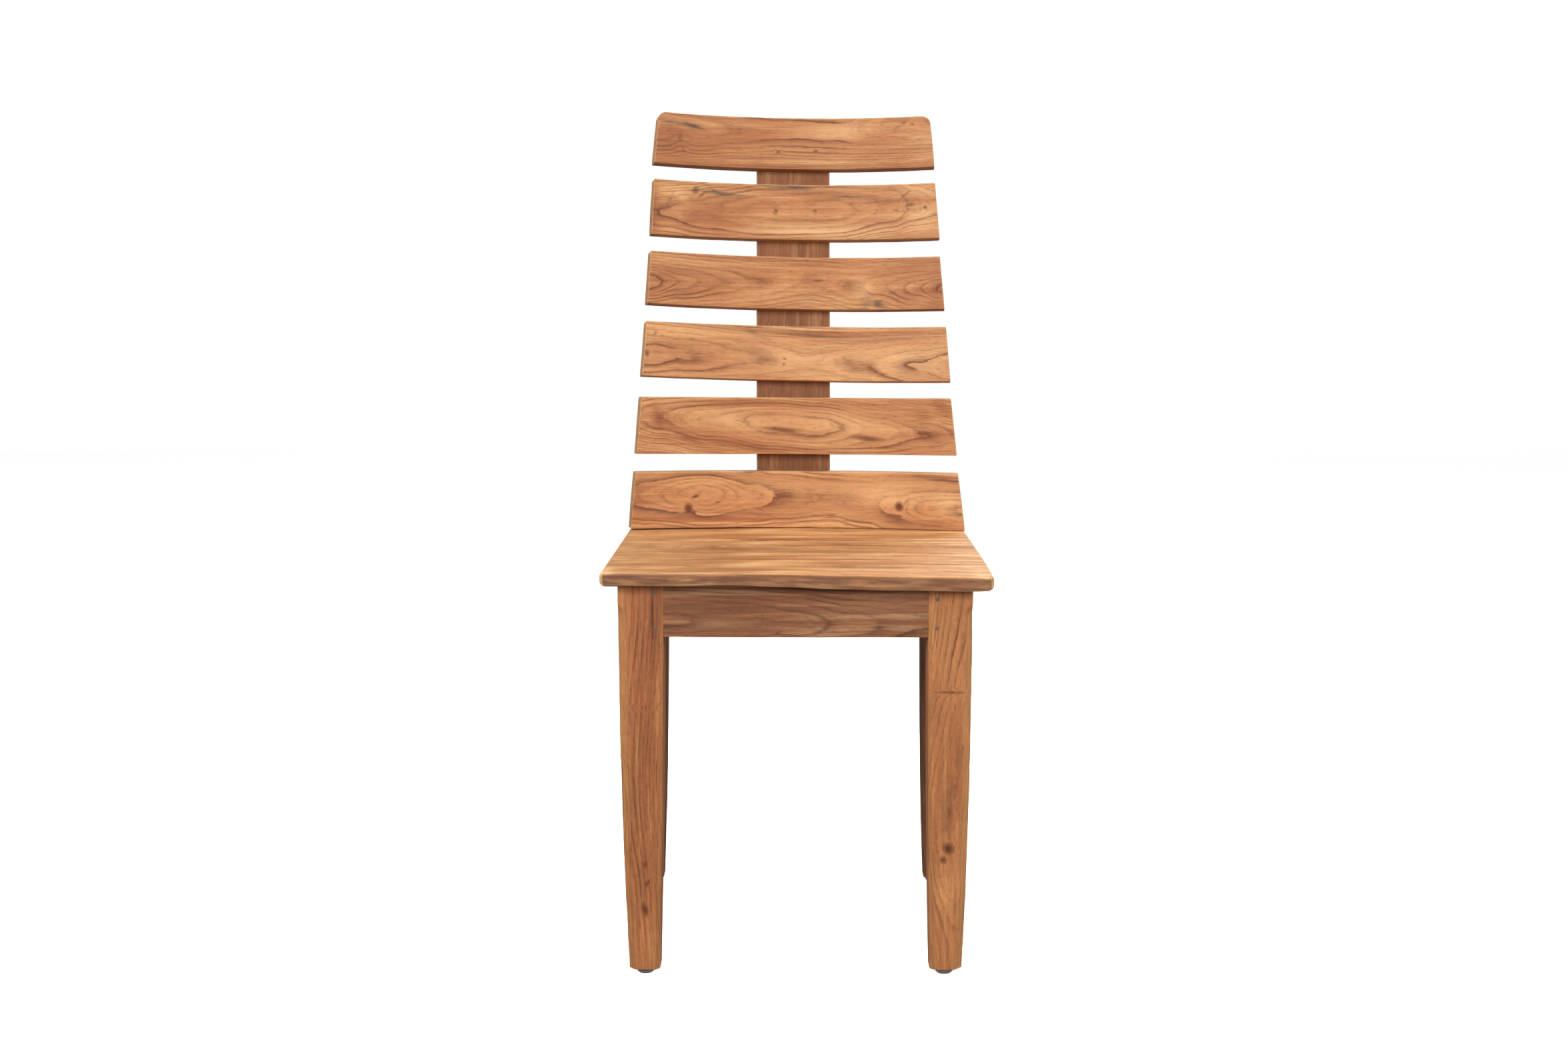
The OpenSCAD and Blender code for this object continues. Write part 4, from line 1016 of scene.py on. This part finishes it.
glide_outline = [(0, 1.0), (3.1, 1.0), (3.35, 0.25), (3.7, 0.03), (6.9, 0.0), (7.6, 0.12), (8.6, 0.95),
                 (9.8, 2.1), (10.5, 2.95), (11.1, 4.2), (11.45, 5.25), (11.5, 5.9), (11.5, 6.6), (11.3, 7.0),
                 (5, 7.0), (0, 7.0)]
GLIDE = turned_form("glide", glide_outline, 48)
nail_outline = [(0, 1.3), (1.5, 1.34), (2.5, 1.45), (2.9, 1.7), (2.95, 2.2), (2.6, 2.6), (1.2, 2.8),
                (1.18, 8), (1.18, 15), (1.0, 17), (0.5, 18.6), (0, 19.3)]
NAIL = turned_form("nail", nail_outline, 20)

# %% Geometry Nodes tree: set the forms out
def set_out_tree():
    tree = bpy.data.node_groups.new("set_out", "GeometryNodeTree")
    face = tree.interface
    face.new_socket("Geometry", in_out="INPUT", socket_type="NodeSocketGeometry")
    face.new_socket("Geometry", in_out="OUTPUT", socket_type="NodeSocketGeometry")
    for name, kind in (("Form", "NodeSocketObject"), ("Spin", "NodeSocketFloat"),
                       ("Seed", "NodeSocketInt"), ("Material", "NodeSocketMaterial")):
        face.new_socket(name, in_out="INPUT", socket_type=kind)
    given = tree.nodes.new("NodeGroupInput").outputs
    form = add_node(tree, "GeometryNodeObjectInfo", inputs={"Object": given["Form"]})
    local = tree.nodes.new("GeometryNodeInputPosition").outputs[0]
    marked = add_node(tree, "GeometryNodeStoreNamedAttribute",
                      {"data_type": "FLOAT_VECTOR", "domain": "POINT"},
                      {"Geometry": form.outputs["Geometry"], "Name": "fibre"})
    tree.links.new(local, marked.inputs["Value"])
    turn = add_node(tree, "GeometryNodeInputNamedAttribute", {"data_type": "FLOAT_VECTOR"}, {"Name": "turn"})
    set_on = add_node(tree, "GeometryNodeInstanceOnPoints", inputs={
        "Points": given["Geometry"], "Instance": marked.outputs[0]})
    tree.links.new(turn.outputs[0], set_on.inputs["Rotation"])
    back = add_node(tree, "ShaderNodeMath", {"operation": "MULTIPLY"}, {0: given["Spin"], 1: -1.0})
    luck = add_node(tree, "FunctionNodeRandomValue", {"data_type": "FLOAT"}, {"Seed": given["Seed"]})
    floats = [s for s in luck.inputs if s.type == "VALUE"]
    tree.links.new(back.outputs[0], floats[0])
    tree.links.new(given["Spin"], floats[1])
    luck_out = [s for s in luck.outputs if s.type == "VALUE"][0]
    about = add_node(tree, "ShaderNodeCombineXYZ", inputs={"Z": luck_out})
    spun = add_node(tree, "GeometryNodeRotateInstances", inputs={"Instances": set_on.outputs[0]})
    tree.links.new(about.outputs[0], spun.inputs["Rotation"])
    own = add_node(tree, "FunctionNodeRandomValue", {"data_type": "FLOAT"}, {"Seed": given["Seed"]})
    kept = add_node(tree, "GeometryNodeStoreNamedAttribute",
                    {"data_type": "FLOAT", "domain": "INSTANCE"},
                    {"Geometry": spun.outputs[0], "Name": "own"})
    tree.links.new([s for s in own.outputs if s.type == "VALUE"][0], kept.inputs["Value"])
    real = add_node(tree, "GeometryNodeRealizeInstances", inputs={"Geometry": kept.outputs[0]})
    smooth = add_node(tree, "GeometryNodeSetShadeSmooth", inputs={"Geometry": real.outputs[0]})
    coated = add_node(tree, "GeometryNodeSetMaterial", inputs={
        "Geometry": smooth.outputs[0], "Material": given["Material"]})
    end = tree.nodes.new("NodeGroupOutput")
    tree.links.new(coated.outputs[0], end.inputs[0])
    return tree


SET_OUT = set_out_tree()


def facing(out, right=(1, 0, 0)):
    """Euler angles that turn a form's Z to face out, and its X as near to right as can be."""
    z = Vector(out).normalized()
    x = Vector(right)
    x = (x - z * x.dot(z)).normalized()
    return Matrix((x, z.cross(x), z)).transposed().to_euler()


grain_apart = 900.0      # how far apart in the wood two copies may take their grain
any_turn = 3.1           # a turned form may be spun this far either way, in radians
plug_turn = 0.15         # and a plug this far, since it is set with the grain


def set_out(name, form, places, material, nodes, spin, seed):
    """Sets one form out at places of (position, Euler turn), in millimetres."""
    start = bpy.data.meshes.new(f"{name}_places")
    start.from_pydata([tuple(p) for p, _ in places], [], [])
    layer = start.attributes.new("turn", "FLOAT_VECTOR", "POINT")
    layer.data.foreach_set("vector", np.array([tuple(t) for _, t in places], np.float32).ravel())
    piece = run_tree(name, SET_OUT, {"Form": form, "Spin": spin, "Seed": seed, "Material": material}, start)
    # Each copy takes its grain from another part of the wood
    own = read(piece.data, "own", 1)
    fibre = read(piece.data, "fibre", 3) + own[:, None] * grain_apart
    piece.data.attributes["fibre"].data.foreach_set("vector", fibre.astype(np.float32).ravel())
    settle(piece, read(piece.data, "position", 3), nodes)
    return piece


print("set out tree has", len(SET_OUT.nodes), "nodes")

# %% [markdown]
# Peg ends show end grain: the fibres are seen head on, so the wood drinks more oil and looks
# dark, with arcs of growth rings and open pores. Screws are zinc-plated steel, whose plating is
# cloudy, and the glides under the feet are grey nylon, scuffed by the floor.

# %% Materials: end grain, zinc and nylon
def simple_finish(name, dark, light, roughness, scale, metallic=0.0, rings=0.0, bump=0.3):
    """A finish of two mottled colours, with arcs of rings if wanted. The scale is per millimetre."""
    made = bpy.data.materials.new(name)
    made.use_nodes = True
    tree = made.node_tree
    tree.nodes.clear()
    fibre = add_node(tree, "ShaderNodeAttribute", {"attribute_name": "fibre"}).outputs["Vector"]
    mottle = add_node(tree, "ShaderNodeTexNoise", inputs={
        "Vector": fibre, "Scale": scale, "Detail": 5.0, "Roughness": 0.6}).outputs[0]
    ramp = add_node(tree, "ShaderNodeValToRGB", inputs={0: mottle})
    ramp.color_ramp.elements[0].position = 0.35
    ramp.color_ramp.elements[1].position = 0.68
    ramp.color_ramp.elements[0].color = linear(dark)
    ramp.color_ramp.elements[1].color = linear(light)
    colour = ramp.outputs[0]
    if rings > 0:
        arcs = add_node(tree, "ShaderNodeTexWave", {"wave_type": "RINGS", "rings_direction": "Z"}, {
            "Vector": add_node(tree, "ShaderNodeVectorMath", {"operation": "ADD"},
                               {0: fibre, 1: (9.0, 4.0, 0.0)}).outputs[0],
            "Scale": 0.22, "Distortion": 1.5, "Detail": 3.0})
        colour = add_node(tree, "ShaderNodeMix", {"data_type": "RGBA"}, {
            0: add_node(tree, "ShaderNodeMath", {"operation": "MULTIPLY"},
                        {0: arcs.outputs["Fac"], 1: rings}).outputs[0],
            6: colour, 7: linear(dark)}).outputs[2]
    gloss = add_node(tree, "ShaderNodeMapRange", inputs={
        "Value": mottle, "To Min": roughness - 0.08, "To Max": roughness + 0.1}).outputs[0]
    relief = add_node(tree, "ShaderNodeBump", inputs={
        "Strength": bump, "Distance": 0.0003, "Height": mottle}).outputs[0]
    shader = add_node(tree, "ShaderNodeBsdfPrincipled", inputs={
        "Base Color": colour, "Roughness": gloss, "Metallic": metallic, "Normal": relief})
    add_node(tree, "ShaderNodeOutputMaterial", inputs={"Surface": shader.outputs[0]})
    return made


PEG_WOOD = simple_finish("end_grain_pegs", "#54443A", "#85705F", 0.6, 1.1, rings=0.5)
ZINC = simple_finish("zinc_plated_steel", "#9A9CA0", "#C9CBCE", 0.34, 0.7, metallic=1.0, bump=0.1)
NYLON = simple_finish("grey_nylon_glides", "#77716B", "#96908A", 0.5, 0.5)
print("other materials:", PEG_WOOD.name, ZINC.name, NYLON.name)

# %% [markdown]
# Everything that was set out on the real chair with a rule and a square is set out here the
# same way: pegs in pairs at each joint, two plugged screws in each slat and six in the spine's
# foot, a screw through each corner block into the leg, and one up into the seat.

# %% Pegs
sides = (-1, 1)
apron_middle = (apron_low[2] + frame_top) / 2
peg_edge = 9.5
peg_pitch = 36.0
peg_heights = (apron_middle - peg_pitch / 2, apron_middle + peg_pitch / 2)
# The pegs seen in front were bored by eye, a few millimetres off their marks
by_eye = {(-1, 0): -1.5, (-1, 1): 4.0, (1, 0): 0.0, (1, 1): -3.0}
front_pegs = []
for side in sides:
    for row in (0, 1):
        z = peg_heights[row] + by_eye[side, row]
        front_pegs.append(((side * (front_legs[0][0] + peg_edge), front_legs[0][1], z), facing((0, -1, 0))))
rear_pegs = [((side * (rear_legs[0][0] + peg_edge), rear_legs[1][1], z), facing((0, 1, 0)))
             for side in sides for z in peg_heights]
side_pegs = []
for side in sides:
    outward = facing((side, 0, 0), (0, 1, 0))
    for z in peg_heights:
        side_pegs.append(((side * front_legs[1][0], front_legs[1][1] - peg_edge, z), outward))
        side_pegs.append(((side * rear_legs[1][0], rear_legs[0][1] + peg_edge, z), outward))
set_out("front_joint_pegs_wood", PEG, front_pegs, PEG_WOOD, ["front_joint_pegs"], any_turn, 1)
set_out("rear_joint_pegs_wood", PEG, rear_pegs, PEG_WOOD, ["rear_joint_pegs"], any_turn, 2)
set_out("side_joint_pegs_wood", PEG, side_pegs, PEG_WOOD, ["side_joint_pegs"], any_turn, 3)

# %% Slat screws and their plugs
plug_deep = 6.0
screw_x = 26.0
crest_screw_drop = 10.0
slat_plugs = []
slat_screws = []
for i, (turn, hung, front_r, bow_y, look) in enumerate(hung_slats):
    for side in sides:
        up = -crest_screw_drop if i == 0 else 0.0
        face = Vector((side * screw_x, math.sqrt(front_r ** 2 - screw_x ** 2) - bow_y, up))
        normal = Vector((-face.x, -face.y - bow_y, 0)).normalized()
        slat_plugs.append((turn @ face + hung, facing(turn @ normal, turn @ Vector((1, 0, 0)))))
        head = Vector((side * screw_x, front_r - bow_y + plug_deep, up))
        slat_screws.append((turn @ head + hung, facing(turn @ Vector((0, -1, 0)))))
plugs = set_out("slat_plugs_wood", PLUG, slat_plugs, SLAT_TEAK, ["slat_plugs"], plug_turn, 4)
# Plugs are cut from the slats' own offcuts and set with the grain, so they take their slat's figure
placed = read(plugs.data, "position", 3) / MM
each = len(placed) // len(slat_plugs)
grain = np.zeros_like(placed)
for i, (turn, hung, front_r, bow_y, look) in enumerate(hung_slats):
    span = slice(2 * i * each, 2 * (i + 1) * each)
    local = (placed[span] - np.array(hung)) @ np.array(turn)
    grain[span] = local - np.array([0, front_r - bow_y + slat_thick / 2, 0])
figure_parts = ("rings", "knots", "stains", "shades")
figures = []
for i, (turn, hung, front_r, bow_y, look) in enumerate(hung_slats):
    figure(plugs.data, grain[:, 0], grain[:, 2], grain[:, 1] + slat_thick / 2, look)
    figures.append({name: read(plugs.data, name, 1) for name in figure_parts})
for name in figure_parts:
    write(plugs.data, name, np.concatenate([
        figures[i][name][2 * i * each:2 * (i + 1) * each] for i in range(len(hung_slats))]))
plugs.data.attributes["fibre"].data.foreach_set("vector", grain.astype(np.float32).ravel())
set_out("slat_screws_steel", screw_form(28), slat_screws, ZINC, ["slat_screws"], any_turn, 5)

# %% Spine screws and their plugs
spine_back = rear_legs[1][1] + spine_thick
spine_screw_x = 28.0
spine_screw_pitch = 30.0
seat_edge_screw = 9.0    # how far above the seat's underside its rear edge is screwed to the spine
rows = (apron_middle - spine_screw_pitch / 2, apron_middle + spine_screw_pitch / 2,
        frame_top + seat_edge_screw)
heads = [(side * spine_screw_x, z) for z in rows for side in sides]
spine_plugs = [((x, spine_back, z), facing((0, 1, 0), (0, 0, 1))) for x, z in heads]
spine_screws = [((x, spine_back - plug_deep, z), facing((0, 1, 0))) for x, z in heads]
set_out("spine_plugs_wood", PLUG, spine_plugs, PLUG_TEAK, ["spine_plugs"], plug_turn, 6)
set_out("spine_screws_steel", screw_form(36), spine_screws, ZINC, ["spine_screws"], any_turn, 7)

# %% Block screws and seat screws
block_reach = 45.0
block_tip = 8.0
block_high = 38.0
seat_screw_up = 20.0     # how far above the block's foot a seat screw's head lies
side_face = box_mm("side_apron_right")[0][0]
block_screws = []
seat_screws = []
for legs, rail, way in ((front_legs, apron_high[1], 1), (rear_legs, rear_box[0][1], -1)):
    # In plan: the leg's inner corner, and the slanted face that looks at it
    corner = np.array([legs[0][0], legs[1][1] if way > 0 else legs[0][1]])
    start = np.array([corner[0] - block_reach, rail + way * block_tip])
    finish = np.array([side_face - block_tip, corner[1] + way * block_reach])
    run = (finish - start) / np.linalg.norm(finish - start)
    foot = start + run * np.dot(corner - start, run)
    for side in sides:
        out = Vector((side * (foot[0] - corner[0]), foot[1] - corner[1], 0))
        block_screws.append(((side * foot[0], foot[1], frame_top - block_high / 2), facing(out, (0, 0, 1))))
        seat_screw_at = (side * (side_face - block_tip), corner[1] + way * block_reach / 2,
                         frame_top - block_high + seat_screw_up)
        seat_screws.append((seat_screw_at, facing((0, 0, -1))))
set_out("corner_block_screws_steel", screw_form(36), block_screws, ZINC, ["corner_block_screws"],
        any_turn, 8)
set_out("seat_screws_steel", screw_form(30), seat_screws, ZINC, ["seat_screws"], any_turn, 9)

# %% Glides and nails
glide_nodes = [f"glide_{front}_{word}" for front in ("front", "rear") for word in ("left", "right")]
feet = []
for node in glide_nodes:
    low, high = box_mm(node)
    feet.append((((low[0] + high[0]) / 2, (low[1] + high[1]) / 2, 0.0), facing((0, 0, 1))))
set_out("glides_nylon", GLIDE, feet, NYLON, glide_nodes, any_turn, 10)
set_out("glide_nails_steel", NAIL, feet, ZINC, ["glide_nails"], any_turn, 11)
for form in FORMS:
    bpy.data.objects.remove(form)

# %% [markdown]
# The light is that of a product studio: a wide soft lamp in front on the left, a weaker one on
# the right, one overhead and one high behind. Little light comes from below, so that the frame
# under the seat stays dark.
# The floor is pale and bright enough to look white, and it does not light the chair from
# beneath, because the rays that carry bounced light pass through it.

# %% Floor and world
bpy.ops.mesh.primitive_plane_add(size=14)
floor = bpy.context.object
floor.name = "floor"
paint = bpy.data.materials.new("matt_white_floor")
paint.use_nodes = True
coat = paint.node_tree.nodes["Principled BSDF"]
coat.inputs["Base Color"].default_value = linear("#F4F4F4")
coat.inputs["Roughness"].default_value = 0.9
coat.inputs["Emission Color"].default_value = (1.0, 1.0, 1.0, 1.0)
coat.inputs["Emission Strength"].default_value = 0.75
floor.data.materials.append(paint)
floor.visible_diffuse = False
floor.visible_glossy = False

world = bpy.data.worlds.new("studio")
bpy.context.scene.world = world
world.use_nodes = True
sky = world.node_tree
sky.nodes.clear()
ambient = 0.22
ray = add_node(sky, "ShaderNodeLightPath")
strength = add_node(sky, "ShaderNodeMapRange", inputs={
    "Value": ray.outputs["Is Camera Ray"], "To Min": ambient, "To Max": 1.05})
glow = add_node(sky, "ShaderNodeBackground", inputs={"Color": (1, 1, 1, 1), "Strength": strength.outputs[0]})
add_node(sky, "ShaderNodeOutputWorld", inputs={"Surface": glow.outputs[0]})


# %% Lamps
def lamp(name, power, size, place, target):
    light = bpy.data.lights.new(name, "AREA")
    light.shape = "RECTANGLE"
    light.size, light.size_y = size
    light.energy = power
    shown = bpy.data.objects.new(name, light)
    bpy.context.scene.collection.objects.link(shown)
    shown.location = place
    shown.rotation_euler = (Vector(place) - Vector(target)).to_track_quat("Z", "Y").to_euler()


lamp("soft_key", 80, (2.2, 1.4), (-1.9, -2.7, 1.8), (0, 0, 0.5))
lamp("soft_fill", 62, (2.0, 1.4), (2.3, -2.5, 1.4), (0, 0, 0.4))
lamp("top_soft", 80, (2.4, 2.4), (0, -0.2, 4.2), (0, 0, 0.5))
lamp("soft_back", 64, (2.0, 1.2), (1.0, 2.5, 2.9), (0, 0, 0.5))

# %% [markdown]
# The camera stands two and a half metres in front at chest height with a 48 mm lens, and looks
# slightly down, so the seat's top just shows as a band. Standard colour keeps the wood's hues
# as they were given.

# %% Camera
camera = bpy.data.objects.new("camera", bpy.data.cameras.new("camera"))
bpy.context.scene.collection.objects.link(camera)
camera.data.lens = 47.957
camera.data.sensor_width = 36.0
camera.data.sensor_fit = "HORIZONTAL"
camera_place = (-0.01135, -2.55797, 0.79296)
look_down = 0.1162       # all three in radians
look_left = 0.0009
roll = 0.0019
camera.matrix_world = (Matrix.Translation(camera_place) @ Matrix.Rotation(look_left, 4, "Z")
                       @ Matrix.Rotation(math.pi / 2 - look_down, 4, "X") @ Matrix.Rotation(roll, 4, "Z"))
bpy.context.scene.camera = camera
bpy.context.scene.view_settings.view_transform = "Standard"
bpy.context.scene.view_settings.look = "None"

# %% The end
bpy.context.view_layer.update()
